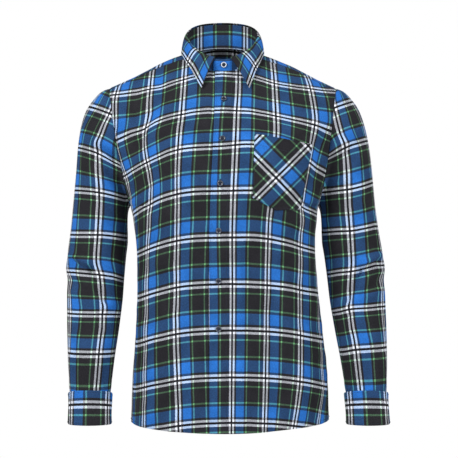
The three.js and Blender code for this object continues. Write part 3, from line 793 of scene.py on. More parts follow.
def flannel_material(settings):
    """Brushed twill in checks: the yarn order both ways, the fine diagonal, nap and pilling."""
    material, nodes = new_material("Checked flannel")
    spot = nodes.add("ShaderNodeUVMap", uv_map=CLOTH_MAP).outputs[0]
    waver = nodes.noise(spot, 900, 1.0)
    waver = nodes.math("MULTIPLY_ADD", waver, 0.0014, -0.0007)
    split = nodes.add("ShaderNodeSeparateXYZ", {0: spot})
    u = nodes.math("ADD", split.outputs[0], waver)
    v = nodes.math("ADD", split.outputs[1], waver)
    warp_place = nodes.math("FRACT", nodes.math("DIVIDE", u, settings.warp_repeat))
    weft_place = nodes.math("FRACT", nodes.math("DIVIDE", v, settings.weft_repeat))
    colours = {
        "black": tuple(settings.black_yarn), "white": tuple(settings.white_yarn),
        "line": tuple(c * 0.8 for c in settings.black_yarn),
        "blue": tuple(settings.blue_yarn), "green": tuple(settings.green_yarn),
    }
    warp = yarn_ramp(nodes, warp_place, colours)
    weft = yarn_ramp(nodes, weft_place, colours)
    pull = nodes.math("MULTIPLY_ADD", nodes.math("SUBTRACT", warp[1], weft[1]), 0.7, 0.5)
    diagonal = nodes.math("ADD", split.outputs[0], split.outputs[1])
    turn = nodes.math("MULTIPLY", diagonal, 2 * math.pi / settings.twill_pitch)
    twill = nodes.math("SINE", turn)
    share = nodes.math("MULTIPLY_ADD", twill, 0.17, pull, clamp=True)
    cloth = nodes.mix(share, weft[0], warp[0])
    nap = nodes.noise(spot, 450, 4.0, 0.7)
    fade = nodes.noise(spot, 22, 4.0, 0.65)
    lightness = nodes.math(
        "MULTIPLY", nodes.band(nap, 0.25, 0.75, 0.78, 1.18), nodes.band(fade, 0.3, 0.7, 0.91, 1.08)
    )
    cloth = nodes.mix(1.0, cloth, lightness, "MULTIPLY")
    fuzz = nodes.band(nodes.noise(spot, 1500, 3.0, 0.7), 0.6, 0.8, 0.0, 0.1)
    cloth = nodes.mix(fuzz, cloth, (0.5, 0.52, 0.55, 1))
    base = nodes.add("ShaderNodeGamma", {0: cloth, 1: 2.2}).outputs[0]
    weave = nodes.math("MULTIPLY_ADD", twill, 0.25, nap)
    fine = nodes.add("ShaderNodeBump", {"Strength": 0.35, "Distance": 0.0005, "Height": weave})
    place = nodes.add("ShaderNodeTexCoord").outputs["Object"]
    soft = nodes.noise(place, 38, 3.0, 0.55)
    bump = nodes.add(
        "ShaderNodeBump",
        {"Strength": 0.35, "Distance": 0.004, "Height": soft, "Normal": fine.outputs[0]},
    )
    rough = nodes.band(nap, 0.2, 0.8, 0.82, 0.96)
    shader = nodes.add(
        "ShaderNodeBsdfPrincipled",
        {"Base Color": base, "Roughness": rough, "Normal": bump.outputs[0]},
    )
    shader.inputs["Specular IOR Level"].default_value = 0.05
    shader.inputs["Sheen Weight"].default_value = 0.02
    shader.inputs["Sheen Roughness"].default_value = 0.5
    nodes.add("ShaderNodeOutputMaterial", {0: shader.outputs[0]})
    return material


def thread_material(settings):
    """Sewing thread: two plies twisted, with a slight gloss."""
    material, nodes = new_material("Sewing thread")
    place = nodes.add("ShaderNodeTexCoord").outputs["Object"]
    twist = nodes.noise(place, 2200, 2.0)
    dark = tuple(c * 0.7 for c in settings.thread_colour)
    shade = nodes.mix(twist, (*dark, 1), (*settings.thread_colour, 1))
    base = nodes.add("ShaderNodeGamma", {0: shade, 1: 2.2}).outputs[0]
    bump = nodes.add("ShaderNodeBump", {"Strength": 0.4, "Distance": 0.0002, "Height": twist})
    shader = nodes.add("ShaderNodeBsdfPrincipled", {"Base Color": base, "Normal": bump.outputs[0]})
    shader.inputs["Roughness"].default_value = 0.55
    nodes.add("ShaderNodeOutputMaterial", {0: shader.outputs[0]})
    return material


# Share of the highlight painted on each point of a button's raised rim.
RIM_HIGHLIGHT_MAP = "Rim"


def button_material(settings):
    """Cast resin button: dark, with faint swirls, a worn, slightly dull face and a highlight painted
    into the colour of its raised rim.
    """
    material, nodes = new_material("Button resin")
    place = nodes.add("ShaderNodeTexCoord").outputs["Object"]
    swirl = nodes.noise(place, 260, 3.0, 0.6)
    streak = nodes.band(swirl, 0.35, 0.65, 0.0, 1.0)
    light = tuple(min(1.0, c * 1.9) for c in settings.button_colour)
    shade = nodes.mix(streak, (*settings.button_colour, 1), (*light, 1))
    rim = nodes.add("ShaderNodeAttribute", attribute_name=RIM_HIGHLIGHT_MAP).outputs["Fac"]
    # Painted highlight: the raised rim is lightened towards a pale colour, as a glossy rim looks where
    # it reflects the light.
    shade = nodes.mix(rim, shade, (*settings.rim_highlight_colour, 1))
    base = nodes.add("ShaderNodeGamma", {0: shade, 1: 2.2}).outputs[0]
    scuff = nodes.band(nodes.noise(place, 1400, 3.0, 0.6), 0.3, 0.8, 0.22, 0.42)
    shader = nodes.add("ShaderNodeBsdfPrincipled", {"Base Color": base, "Roughness": scuff})
    shader.inputs["Coat Weight"].default_value = 0.25
    shader.inputs["Coat Roughness"].default_value = 0.15
    nodes.add("ShaderNodeOutputMaterial", {0: shader.outputs[0]})
    return material


def ground_material(colour):
    material, nodes = new_material("Pale floor")
    place = nodes.add("ShaderNodeTexCoord").outputs["Object"]
    tone = nodes.band(nodes.noise(place, 3, 3.0), 0.3, 0.7, 0.98, 1.0)
    base = nodes.mix(1.0, (*colour, 1), tone, "MULTIPLY")
    shader = nodes.add("ShaderNodeBsdfPrincipled", {"Base Color": base})
    shader.inputs["Roughness"].default_value = 0.85
    nodes.add("ShaderNodeOutputMaterial", {0: shader.outputs[0]})
    return material


def finish_of(name, maker, settings):
    """The material of that name, made the first time that it is asked for."""
    return bpy.data.materials.get(name) or maker(settings)


# ---------------------------------------------------------------- settings


class ShirtCloth(bpy.types.PropertyGroup):
    thickness: bpy.props.FloatProperty(
        name="Thickness", description="Thickness of one layer of cloth",
        default=0.0012, min=0.0005, max=0.003, subtype="DISTANCE", unit="LENGTH",
    )
    warp_repeat: bpy.props.FloatProperty(
        name="Warp repeat", description="Width of one repeat of the checks",
        default=WARP_REPEAT * MM, subtype="DISTANCE", unit="LENGTH",
    )
    weft_repeat: bpy.props.FloatProperty(
        name="Weft repeat", description="Height of one repeat of the checks",
        default=WEFT_REPEAT * MM, subtype="DISTANCE", unit="LENGTH",
    )
    twill_pitch: bpy.props.FloatProperty(
        name="Twill pitch", description="Distance from one diagonal rib of the twill to the next",
        default=0.0016, subtype="DISTANCE", unit="LENGTH",
    )
    black_yarn: bpy.props.FloatVectorProperty(
        name="Black yarn", description="Colour of the darkest yarn",
        default=(0.146, 0.144, 0.156), size=3, min=0, max=1, subtype="COLOR_GAMMA",
    )
    white_yarn: bpy.props.FloatVectorProperty(
        name="White yarn", description="Colour of the thin white lines",
        default=(0.84, 0.855, 0.89), size=3, min=0, max=1, subtype="COLOR_GAMMA",
    )
    blue_yarn: bpy.props.FloatVectorProperty(
        name="Blue yarn", description="Colour of the broad blue bands",
        default=(0.16, 0.375, 0.66), size=3, min=0, max=1, subtype="COLOR_GAMMA",
    )
    green_yarn: bpy.props.FloatVectorProperty(
        name="Green yarn", description="Colour of the thin green lines",
        default=(0.38, 0.6, 0.41), size=3, min=0, max=1, subtype="COLOR_GAMMA",
    )


class ShirtTrim(bpy.types.PropertyGroup):
    stitch_pitch: bpy.props.FloatProperty(
        name="Stitch pitch", description="Distance from one stitch to the next",
        default=0.0034, subtype="DISTANCE", unit="LENGTH",
    )
    stitch_length: bpy.props.FloatProperty(
        name="Stitch length", description="Length of one stitch",
        default=0.0026, subtype="DISTANCE", unit="LENGTH",
    )
    bar_pitch: bpy.props.FloatProperty(
        name="Bar pitch", description="Distance from one bar of a buttonhole to the next",
        default=0.0006, subtype="DISTANCE", unit="LENGTH",
    )
    bar_length: bpy.props.FloatProperty(
        name="Bar length", description="Length of a buttonhole's bars",
        default=0.0018, subtype="DISTANCE", unit="LENGTH",
    )
    thread_width: bpy.props.FloatProperty(
        name="Thread width", description="Thickness of the sewing thread",
        default=0.0005, subtype="DISTANCE", unit="LENGTH",
    )
    thread_colour: bpy.props.FloatVectorProperty(
        name="Thread colour", description="Colour of the sewing thread",
        default=(0.12, 0.15, 0.26), size=3, min=0, max=1, subtype="COLOR_GAMMA",
    )
    button_colour: bpy.props.FloatVectorProperty(
        name="Button colour", description="Colour of the buttons",
        default=(0.07, 0.085, 0.12), size=3, min=0, max=1, subtype="COLOR_GAMMA",
    )
    # Pale colour of the highlight painted on a button's rim.
    rim_highlight_colour: bpy.props.FloatVectorProperty(
        name="Rim highlight colour", description="Colour of the highlight painted on a button's rim",
        default=(0.72, 0.75, 0.8), size=3, min=0, max=1, subtype="COLOR_GAMMA",
    )
    button_radius: bpy.props.FloatProperty(
        name="Button radius", description="Radius of a button",
        default=0.00575, subtype="DISTANCE", unit="LENGTH",
    )


class ShirtStage(bpy.types.PropertyGroup):
    floor_height: bpy.props.FloatProperty(
        name="Floor height", description="Height of the floor below the shoulders",
        default=-1.3, subtype="DISTANCE", unit="LENGTH",
    )
    floor_colour: bpy.props.FloatVectorProperty(
        name="Floor colour", description="Colour of the plain floor",
        default=(0.82, 0.82, 0.82), size=3, min=0, max=1, subtype="COLOR",
    )
    surround: bpy.props.FloatProperty(
        name="Surround", description="Light that comes from all around", default=0.38, min=0,
    )
    key_light: bpy.props.FloatProperty(
        name="Key light", description="Power of the large soft light", default=144.0, min=0,
    )
    fill_light: bpy.props.FloatProperty(
        name="Fill light", description="Power of the second soft light", default=86.0, min=0,
    )


def cloth_finish(context):
    return finish_of("Checked flannel", flannel_material, context.scene.shirt_cloth)


def thick_of(context, layers=1.0):
    return context.scene.shirt_cloth.thickness / MM * layers


# ---------------------------------------------------------------- fronts


def neck_level(points, margin=0.8):
    """Above 0 outside the neck opening, where the fronts and the yoke stay."""
    x = (points[..., 0] - NECK["x"]) / (NECK["half_width"] + margin)
    y = (points[..., 1] - NECK["y"]) / (NECK["half_depth"] + margin)
    return (np.hypot(x, y) - 1) * 60


class SHIRT_OT_fronts(bpy.types.Operator):
    """Makes the two fronts: the wearer's left one laps over the right one"""

    bl_idname = "shirt.fronts"
    bl_label = "Fronts"

    def execute(self, context):
        for side, name in ((-1, "front_right"), (1, "front_left")):
            rows = stops(HEM_FRONT, YOKE_FRONT, 4.4)
            middle = closing_line(smooth_body(rows, 0)[:, 2])
            length = row_length(rows)
            lap = np.array([-18, -17, -14, -9, -4, 1, 6, 11, 15, 17.2, 18, 18.8, 20, 24, 28])
            reach = middle[:, None] + side * lap[None, :]
            clear = middle + side * 32
            steps = np.linspace(0, 1, 52)
            rest = clear[:, None] + (side * length - clear)[:, None] * steps[None, :]
            across = np.concatenate([reach, rest], axis=1)
            at = np.repeat(rows[:, None], across.shape[1], axis=1)
            if side < 0:
                across = across[:, ::-1]
            gap = (across - middle[:, None]) * side
            if side < 0:
                out = -LAP * (1 - smoothstep(20, 30, gap))
            else:
                groove = -0.5 * np.exp(-(((gap - 18) / 1.2) ** 2))
                out = groove + 0.25 * (1 - smoothstep(17.2, 18, gap))
            near_side = length[:, None] - np.abs(across)
            out = out - 0.7 * np.exp(-((near_side / 3.0) ** 2))
            points = body_point(at, across, out, fine=True)
            cloth = front_cloth(side, at, across)
            shift = None
            if side > 0:
                shift = np.zeros((len(rows) - 1, across.shape[1] - 1, 2))
                shift[:, :10, 0] = PLACKET_SHIFT
            piece = cloth_piece(
                name + "_cloth", points, cloth, body_normal(at, across), thick_of(context),
                keep=neck_level(points), shift=shift,
            )
            dress(piece, cloth_finish(context), "flannel", name)
        return {"FINISHED"}


# ---------------------------------------------------------------- yoke and back


def back_cloth(at, across):
    point = smooth_body(at, across)
    share = np.abs(point[..., 0] - body_sway(point[..., 2])) / 200
    return np.stack([across + 62, point[..., 2] + 30 * share**2 - 20], -1)


def yoke_cloth(at, across):
    """The yoke's threads run across the shoulders."""
    line = np.linspace(YOKE_FRONT - 4, YOKE_BACK + 4, 60)
    path = smooth_body(line, 0.6 * row_length(line))
    along = np.concatenate([[0], np.cumsum(np.linalg.norm(np.diff(path, axis=0), axis=1))])
    return np.stack([across - 25, np.interp(at, line, along) - np.interp(216, line, along)], -1)


class SHIRT_OT_back(bpy.types.Operator):
    """Makes the back and the yoke over the shoulders"""

    bl_idname = "shirt.back"
    bl_label = "Back and yoke"

    def execute(self, context):
        steps = np.linspace(-1, 1, 112)
        rows = stops(YOKE_BACK, HEM_BACK, 4.6)
        at = np.repeat(rows[:, None], len(steps), axis=1)
        length = row_length(at)
        across = length * steps[None, :]
        near_side = length - np.abs(across)
        out = -0.7 * np.exp(-((near_side / 3.0) ** 2))
        out = out - 0.5 * np.exp(-(((at - YOKE_BACK) / 2.2) ** 2))
        points = body_point(at, across, out, fine=True)
        back = cloth_piece(
            "back_cloth", points, back_cloth(at, across), body_normal(at, across), thick_of(context)
        )
        dress(back, cloth_finish(context), "flannel", "back")
        rows = stops(YOKE_FRONT - 0.5, YOKE_BACK + 0.6, 1.7)
        at = np.repeat(rows[:, None], len(steps), axis=1)
        length = row_length(at)
        across = length * steps[None, :]
        near_side = length - np.abs(across)
        seam = np.minimum(at - YOKE_FRONT, YOKE_BACK - at)
        out = 0.5 * np.exp(-((seam / 1.6) ** 2)) - 0.7 * np.exp(-((near_side / 3.0) ** 2))
        points = body_point(at, across, out, fine=True)
        yoke = cloth_piece(
            "yoke_cloth", points, yoke_cloth(at, across), body_normal(at, across),
            thick_of(context, 1.2), keep=neck_level(points),
        )
        dress(yoke, cloth_finish(context), "flannel", "yoke")
        return {"FINISHED"}


# ---------------------------------------------------------------- sleeves and cuffs

# Down each sleeve: heights of the white weft pairs in the middle of its front, and the distance
# from the body's centre of its white warp pair.
SLEEVE_WEFT = {
    -1: table(
        ["at", "value"],
        [
            [-768, 8 * 91], [-704, 7 * 91], [-595, 6 * 91], [-516, 5 * 91], [-437, 4 * 91],
            [-357, 3 * 91], [-272, 2 * 91], [-194.4, 91], [-104.3, 0], [-14, -91],
        ],
    ),
    1: table(
        ["at", "value"],
        [
            [-768, 8 * 91], [-695, 7 * 91], [-586, 6 * 91], [-505, 5 * 91], [-430, 4 * 91],
            [-349, 3 * 91], [-265.5, 2 * 91], [-178.5, 91], [-90, 0], [-2, -91],
        ],
    ),
}
SLEEVE_PAIR = {
    -1: table(
        ["at", "pair"],
        [
            [-700, 252], [-670, 252.7], [-595, 249.4], [-514, 243.5], [-440, 250], [-407, 257],
            [-357, 254], [-277, 250.5], [-215, 253.5], [-186, 255.6], [-139, 243], [-106, 226],
            [-82, 216], [-57, 208],
        ],
    ),
    1: table(
        ["at", "pair"],
        [
            [-700, 253], [-670, 253], [-590, 250], [-505, 242], [-440, 248], [-407, 251],
            [-357, 250.5], [-266, 247], [-186, 243.6], [-150, 232], [-121, 224], [-90, 214],
            [-57, 206],
        ],
    ),
}
# How far those rows rise or fall across the sleeve, from its inner side to its outer side.
TILT_REACH = np.array([-50, -25, 0, 25, 50.0])
SLEEVE_TILT = {
    -1: [
        (-700, [0, 0, 0, 0, 0]), (-516, [-4, -1, 0, 0, 0]), (-437, [-13, -4, 0, 2, 4]),
        (-357, [-6, -2, 0, 0, 0]), (-272, [-12, -5, 0, 3, 5]), (-194, [-32, -13, 0, 9, 16]),
        (-104, [-22, -10, 0, 8, 14]),
    ],
    1: [
        (-700, [0, 0, 0, 0, 0]), (-586, [-12, -6, 0, 1.5, 2.5]), (-505, [-13, -6, 0, 1.5, 3]),
        (-430, [-8, -3, 0, 5, 11]), (-349, [-3, -1, 0, 4, 9]), (-265, [-6, -3, 0, 6, 14]),
        (-178, [-32, -13, 0, 8, 16]), (-90, [-20, -9, 0, 8, 13]),
    ],
}
# Down a sleeve: its axis and half its width.
SLEEVE_LINE = table(
    ["at", "axis", "radius"],
    [
        [-700, 275, 42], [-600, 272, 50], [-440, 261, 59], [-300, 254, 60], [-269, 252, 60],
        [-139, 245, 60], [-103, 240, 60], [-81.8, 236, 60], [-57, 232, 60],
    ],
)


def sleeve_cloth(side, ring, around):
    point = smooth_sleeve(side, ring, around)
    z = point[..., 2]
    swing = LEFT_SWING * np.maximum(0, (SWING_TOP - z) / SWING_LENGTH) if side > 0 else 0
    x = side * (point[..., 0] - swing)
    turn = np.radians(around)
    radius = column(SLEEVE_LINE, "radius", z)
    axis = column(SLEEVE_LINE, "axis", z)
    angle = np.arctan2(x - axis, column(SLEEVE, "midY", ring) - point[..., 1])
    angle = np.where((angle < -math.pi / 2) & (turn > math.pi), angle + 2 * math.pi, angle)
    pair = np.arcsin(np.clip((column(SLEEVE_PAIR[side], "pair", z) - axis) / radius, -1, 1))
    tilt = fall_of_rows(TILT_REACH, SLEEVE_TILT[side], x - 252, z)
    weft = -column(SLEEVE_WEFT[side], "value", z - tilt)
    return np.stack([side * (angle - pair) * radius, weft], -1)


def even_rings(side):
    """Rings spaced evenly down the sleeve's front."""
    fine = np.linspace(0, 14, 400)
    path = smooth_sleeve(side, fine, np.full(400, 120.0))
    along = np.concatenate([[0], np.cumsum(np.linalg.norm(np.diff(path, axis=0), axis=1))])
    spots = np.concatenate([[0, 1.2, 2.6], np.arange(4.6, along[-1], GRID_STEP), [along[-1]]])
    return np.interp(spots, along, fine)


class SHIRT_OT_sleeves(bpy.types.Operator):
    """Makes both sleeves, bunched at the elbows and gathered into the cuffs"""

    bl_idname = "shirt.sleeves"
    bl_label = "Sleeves"

    def execute(self, context):
        for side, name in ((-1, "sleeve_right"), (1, "sleeve_left")):
            rings = even_rings(side)
            turns = np.linspace(0, 360, 85)
            ring, around = np.meshgrid(rings, turns, indexing="ij")
            from_seam = np.linalg.norm(
                smooth_sleeve(side, ring, around) - smooth_sleeve(side, ring * 0, around), axis=-1
            )
            out = -0.9 * np.exp(-((from_seam / 3.2) ** 2))
            under = np.minimum(around, 360 - around)
            out = out - 0.5 * np.exp(-((under / 2.5) ** 2))
            points = sleeve_point(side, ring, around, out, fine=True)
            points[:, -1] = points[:, 0]
            normal = sleeve_normal(side, ring, around)
            piece = cloth_piece(
                name + "_cloth", points, sleeve_cloth(side, ring, around), normal, thick_of(context)
            )
            dress(piece, cloth_finish(context), "flannel", name)
        return {"FINISHED"}


class SHIRT_OT_cuffs(bpy.types.Operator):
    """Makes both cuffs, each lapped over itself"""

    bl_idname = "shirt.cuffs"
    bl_label = "Cuffs"

    def execute(self, context):
        for side, name in ((-1, "cuff_right"), (1, "cuff_left")):
            levels = np.concatenate([[0, 0.02, 0.05], np.linspace(0.1, 0.9, 12), [0.95, 0.98, 1]])
            spans = np.linspace(0, 1, 86)
            level, span = np.meshgrid(levels, spans, indexing="ij")
            around = CUFF["lap_start"] + (360 + CUFF["lap_angle"]) * span
            edge = np.minimum(level, 1 - level) * CUFF["length"]
            out = LAP * smoothstep(0.78, 0.9, span) - 0.7 * np.exp(-((edge / 1.6) ** 2))
            out = out + 0.35 * np.exp(-(((edge - 4) / 2.5) ** 2))
            out = out + ripple(around * 0.75, level * 65, 31, 60, 0.5)
            points = cuff_point(side, around, level, out)
            outward = cuff_point(side, around, level, out + 1) - points
            pair = 394 if side > 0 else 506
            warp = (around - pair) * WARP_REPEAT / 112
            cloth = np.stack([side * warp, -(level * CUFF["length"]) + 26], -1)
            piece = cloth_piece(
                name + "_cloth", points, cloth, outward, thick_of(context, 1.2), bevel=0.35
            )
            dress(piece, cloth_finish(context), "flannel", name)
        return {"FINISHED"}


# ---------------------------------------------------------------- collar


def leaf_section(side, share, angle, level):
    """A section of the leaf: up out of the fold over the stand, then down to its edge."""
    row = column(LEAF_EDGE, "row", share)
    across = side * column(LEAF_EDGE, "across", share) + TIP_SHIFT * (1 - share) ** 6
    edge = body_point(row, across, LEAF_LIFT + 1.5)
    fold_z = around_neck(STAND_TOP, angle) + SEAM_GAP + 1.5
    fold = neck_point(angle, -LEAF_GRIP, fold_z)
    over = neck_point(angle, LAP + 5, fold_z - 1)
    down = edge + (over - edge) * 0.35 + np.array([0, 0, 4])
    t = level[..., None]
    return (
        (1 - t) ** 3 * fold + 3 * (1 - t) ** 2 * t * over + 3 * (1 - t) * t**2 * down + t**3 * edge
    )


class SHIRT_OT_collar(bpy.types.Operator):
    """Makes the collar's stand, with its buttoned tab, and the leaf that folds over it"""

    bl_idname = "shirt.collar"
    bl_label = "Collar"

    def execute(self, context):
        lap_angle = math.asin(CLOSING_HALF / NECK["half_width"])
        spans = np.linspace(0, 1, 150)
        levels = np.concatenate([[0, 0.04], np.linspace(0.1, 0.9, 9), [0.96, 1]])
        level, span = np.meshgrid(levels, spans, indexing="ij")
        first, last = lap_angle, -2 * math.pi - lap_angle
        angle = first + (last - first) * span
        bottom = around_neck(STAND_BOTTOM, angle)
        from_end = NECK["half_width"] * np.minimum(np.abs(angle - first), np.abs(angle - last))
        short = np.clip(STAND_CORNER - from_end, 0, STAND_CORNER)
        corner = STAND_CORNER - np.sqrt(np.maximum(STAND_CORNER**2 - short**2, 0))
        top = around_neck(STAND_TOP, angle) - corner - 0.8
        z = bottom + (top - bottom) * level
        lapped = LAP * smoothstep(0.72, 0.88, span)
        points = neck_point(angle, lapped, z)
        outward = neck_point(angle, lapped + 1, z) - points
        from_back = (angle + math.pi) * 66
        reach = np.abs(from_back)
        around = np.interp(reach, [0, 90, 150, 175, 260], [49, -41, -10, 4, 40])
        cloth = np.stack([around, z - bottom + 5.6 - 91], -1)
        stand = cloth_piece(
            "collar_stand_cloth", points, cloth, outward, thick_of(context, 1.2), bevel=0.3
        )
        dress(stand, cloth_finish(context), "flannel", "collar_stand")

        walk = np.concatenate([np.linspace(-1, -0.995, 2), np.linspace(-0.98, 0.98, 145),
                               np.linspace(0.995, 1, 2)])
        levels = np.concatenate([np.linspace(0, 0.2, 7), np.linspace(0.25, 0.95, 15), [0.985, 1]])
        level, walk = np.meshgrid(levels, walk, indexing="ij")
        side = np.where(walk < 0, -1.0, 1.0)
        share = 1 - np.abs(walk)
        start = math.asin(LEAF_START / NECK["half_width"])
        angle = side * (start + (math.pi - start) * share)
        points = leaf_section(side, share, angle, level)
        step = 0.01
        deeper = leaf_section(side, share, angle, np.minimum(level + step, 1))
        slope = deeper - leaf_section(side, share, angle, np.maximum(level - step, 0))
        nearby = leaf_section(side, np.minimum(1, share + 0.02), angle + side * 0.02, level)
        normal = unit(np.cross(nearby - points, slope) * side[..., None])
        shares = np.linspace(0, 1, 60)
        rim = leaf_section(1.0, shares, start + (math.pi - start) * shares, np.ones(60))
        walked = np.concatenate([[0], np.cumsum(np.linalg.norm(np.diff(rim, axis=0), axis=1))])
        from_tip = np.interp(share, shares, walked)
        crossing = np.interp(0.145, shares, walked)
        length = walked[-1]
        full = 2 * length - crossing - np.interp(0.205, shares, walked)
        fit = WARP_REPEAT * round(full / WARP_REPEAT) / full
        along = np.where(walk > 0, crossing - from_tip, from_tip + crossing - 2 * length) * fit
        steps = np.linalg.norm(np.diff(points, axis=0), axis=-1)
        down = np.concatenate([np.zeros((1, steps.shape[1])), np.cumsum(steps, axis=0)])
        fuller = smoothstep(0.05, 0.3, share) * (1 - smoothstep(0.4, 0.8, share))
        cloth = np.stack([along, (down[-1] - down) * (1 + 0.35 * fuller) - 5.5], -1)
        leaf = cloth_piece(
            "collar_leaf_cloth", points, cloth, normal, thick_of(context, 1.2), bevel=0.3
        )
        dress(leaf, cloth_finish(context), "flannel", "collar_leaf")
        return {"FINISHED"}


# ---------------------------------------------------------------- pocket

POCKET = {
    "top": ((60, -159), (176, -178)),
    "bottom": ((56, -284), (102, -309), (152, -306)),
    "seat": 0.7,
}


def pocket_spot(across, down):
    """x and z of a point of the pocket, from its shares across and down."""
    (x1, z1), (x2, z2) = POCKET["top"]
    top_x, top_z = x1 + (x2 - x1) * across, z1 + (z2 - z1) * across
    bottom_x = np.interp(across, [0, 0.5, 1], [p[0] for p in POCKET["bottom"]])
    bottom_z = np.interp(across, [0, 0.5, 1], [p[1] for p in POCKET["bottom"]])
    return top_x + (bottom_x - top_x) * down, top_z + (bottom_z - top_z) * down


def pocket_point(across, down):
    """Points of the pocket's outer face, and the way that they face."""
    at, place = front_at(*pocket_spot(across, down))
    out = POCKET["seat"] + 1.2 + 0.5 * (1 - smoothstep(0.17, 0.19, down))
    edge = np.minimum(np.minimum(across, 1 - across), 1 - down) * 110
    gape = (1 - smoothstep(0, 0.25, down)) * np.sin(across * math.pi)
    out = out - 0.5 * np.exp(-((edge / 1.5) ** 2)) + gape
    return body_point(at, place, out, fine=True), body_normal(at, place)


class SHIRT_OT_pocket(bpy.types.Operator):
    """Makes the chest pocket, cut on the bias, with a folded hem along its top"""

    bl_idname = "shirt.pocket"
    bl_label = "Pocket"

    def execute(self, context):
        shares = np.concatenate([[0, 0.01], np.linspace(0.04, 0.48, 12), [0.5],
                                 np.linspace(0.52, 0.96, 12), [0.99, 1]])
        down, across = np.meshgrid(shares, shares, indexing="ij")
        points, normal = pocket_point(across, down)
        x, z = pocket_spot(across, down)
        s = (x - 101) * 0.7071
        t = (z + 245) * 0.7071
        cloth = np.stack([s - t, s + t], -1)
        piece = cloth_piece(
            "pocket_cloth", points, cloth, normal, thick_of(context, 0.8), bevel=0.2
        )
        dress(piece, cloth_finish(context), "flannel", "pocket")
        return {"FINISHED"}


# ---------------------------------------------------------------- buttons

FRONT_BUTTONS = [(-87, 0.4), (-168, 0.5), (-256, 0.4), (-348, 0.5), (-447, 0.8), (-541, 0.6)]
COLLAR_BUTTON = (0.035, -15)
BUTTON_SEAT = 0.4
BUTTON_THICK = 2.4


def row_at_height(across_of, z):
    """Body row where a line on the front reaches a height."""
    low, high = float(HEM_FRONT), float(YOKE_FRONT)
    for _ in range(40):
        middle = (low + high) / 2
        if smooth_body(middle, across_of)[2] < z:
            low = middle
        else:
            high = middle
    return low


def front_place(z, seat):
    across = float(closing_line(np.array(float(z))))
    at = row_at_height(across, z)
    normal = body_normal(at, across)
    return body_point(at, across) + normal * seat, normal


def cuff_place(side):
    around = CUFF["lap_start"] + CUFF["lap_angle"] * 0.5
    point = cuff_point(side, around, 0.5, LAP)
    normal = unit(cuff_point(side, around, 0.5, LAP + 1) - point)
    return point + normal * BUTTON_SEAT, normal


def button_places():
    """Name, place and facing of every button."""
    places = {}
    for count, (z, seat) in enumerate(FRONT_BUTTONS, start=1):
        places[f"button_front_{count}"] = front_place(z, seat)
    normal = np.array([0.0, -1.0, 0.0])
    tab = neck_point(COLLAR_BUTTON[0], LAP, COLLAR_BUTTON[1])
    places["button_collar"] = (tab + normal * BUTTON_SEAT, normal)
    for side, word in ((-1, "right"), (1, "left")):
        places[f"button_cuff_{word}"] = cuff_place(side)
    return places


def button_shape(radius):
    """A shirt button with a rounded rim, a dished middle and four holes."""
    r, thick = radius, BUTTON_THICK * MM
    mm = MM
    profile = [
        (0, 0.0), (r - 1.2 * mm, 0.0), (r - 0.4 * mm, 0.25 * mm), (r, 0.9 * mm),
        (r, thick - 0.8 * mm), (r - 0.35 * mm, thick - 0.2 * mm), (r - 0.95 * mm, thick),
        (r - 1.5 * mm, thick - 0.2 * mm), (r - 2.0 * mm, thick - 0.75 * mm),
        (r - 2.6 * mm, thick - 0.95 * mm), (0, thick - 0.95 * mm),
    ]
    shape = bmesh.new()
    rows = [[shape.verts.new((x * math.cos(a), x * math.sin(a), z))
             for a in np.linspace(0, 2 * math.pi, 40, endpoint=False)] if x else
            [shape.verts.new((0, 0, z))] for x, z in profile]
    for lower, upper in zip(rows, rows[1:]):
        count = max(len(lower), len(upper))
        for k in range(count):
            ring = [lower[k % len(lower)], lower[(k + 1) % len(lower)],
                    upper[(k + 1) % len(upper)], upper[k % len(upper)]]
            corners = list(dict.fromkeys(ring))
            shape.faces.new(corners)
    bmesh.ops.recalc_face_normals(shape, faces=shape.faces)
    mesh = bpy.data.meshes.new("button_shape")
    shape.to_mesh(mesh)
    shape.free()
    body = bpy.data.objects.new("button_shape", mesh)
    drill = bmesh.new()
    for k in range(4):
        a = math.pi / 4 + k * math.pi / 2
        spot = Matrix.Translation((1.35 * mm * math.cos(a), 1.35 * mm * math.sin(a), thick / 2))
        bmesh.ops.create_cone(
            drill, cap_ends=True, segments=14, radius1=0.62 * mm, radius2=0.62 * mm,
            depth=thick * 2, matrix=spot,
        )
    tool_mesh = bpy.data.meshes.new("button_holes")
    drill.to_mesh(tool_mesh)
    drill.free()
    tool = bpy.data.objects.new("button_holes", tool_mesh)
    for made in (body, tool):
        bpy.context.scene.collection.objects.link(made)
    cut = body.modifiers.new("Holes", "BOOLEAN")
    cut.object = tool
    cut.operation = "DIFFERENCE"
    cut.solver = "EXACT"
    settle(body)
    bpy.data.objects.remove(tool)
    shape_mesh = body.data
    bpy.data.objects.remove(body)
    return shape_mesh


def paint_rim_highlight(mesh, radius, strength):
    """Marks the raised rim of a button, where a highlight is painted into its colour."""
    spots = np.zeros(len(mesh.vertices) * 3)
    mesh.vertices.foreach_get("co", spots)
    spots = spots.reshape(-1, 3)
    reach = (radius - np.hypot(spots[:, 0], spots[:, 1])) / MM
    high = (spots[:, 2] > (BUTTON_THICK - 0.5) * MM) & (reach > 0.2) & (reach < 1.7)
    marks = mesh.attributes.new(RIM_HIGHLIGHT_MAP, "FLOAT", "POINT")
    marks.data.foreach_set("value", (high * strength).astype(np.float32))


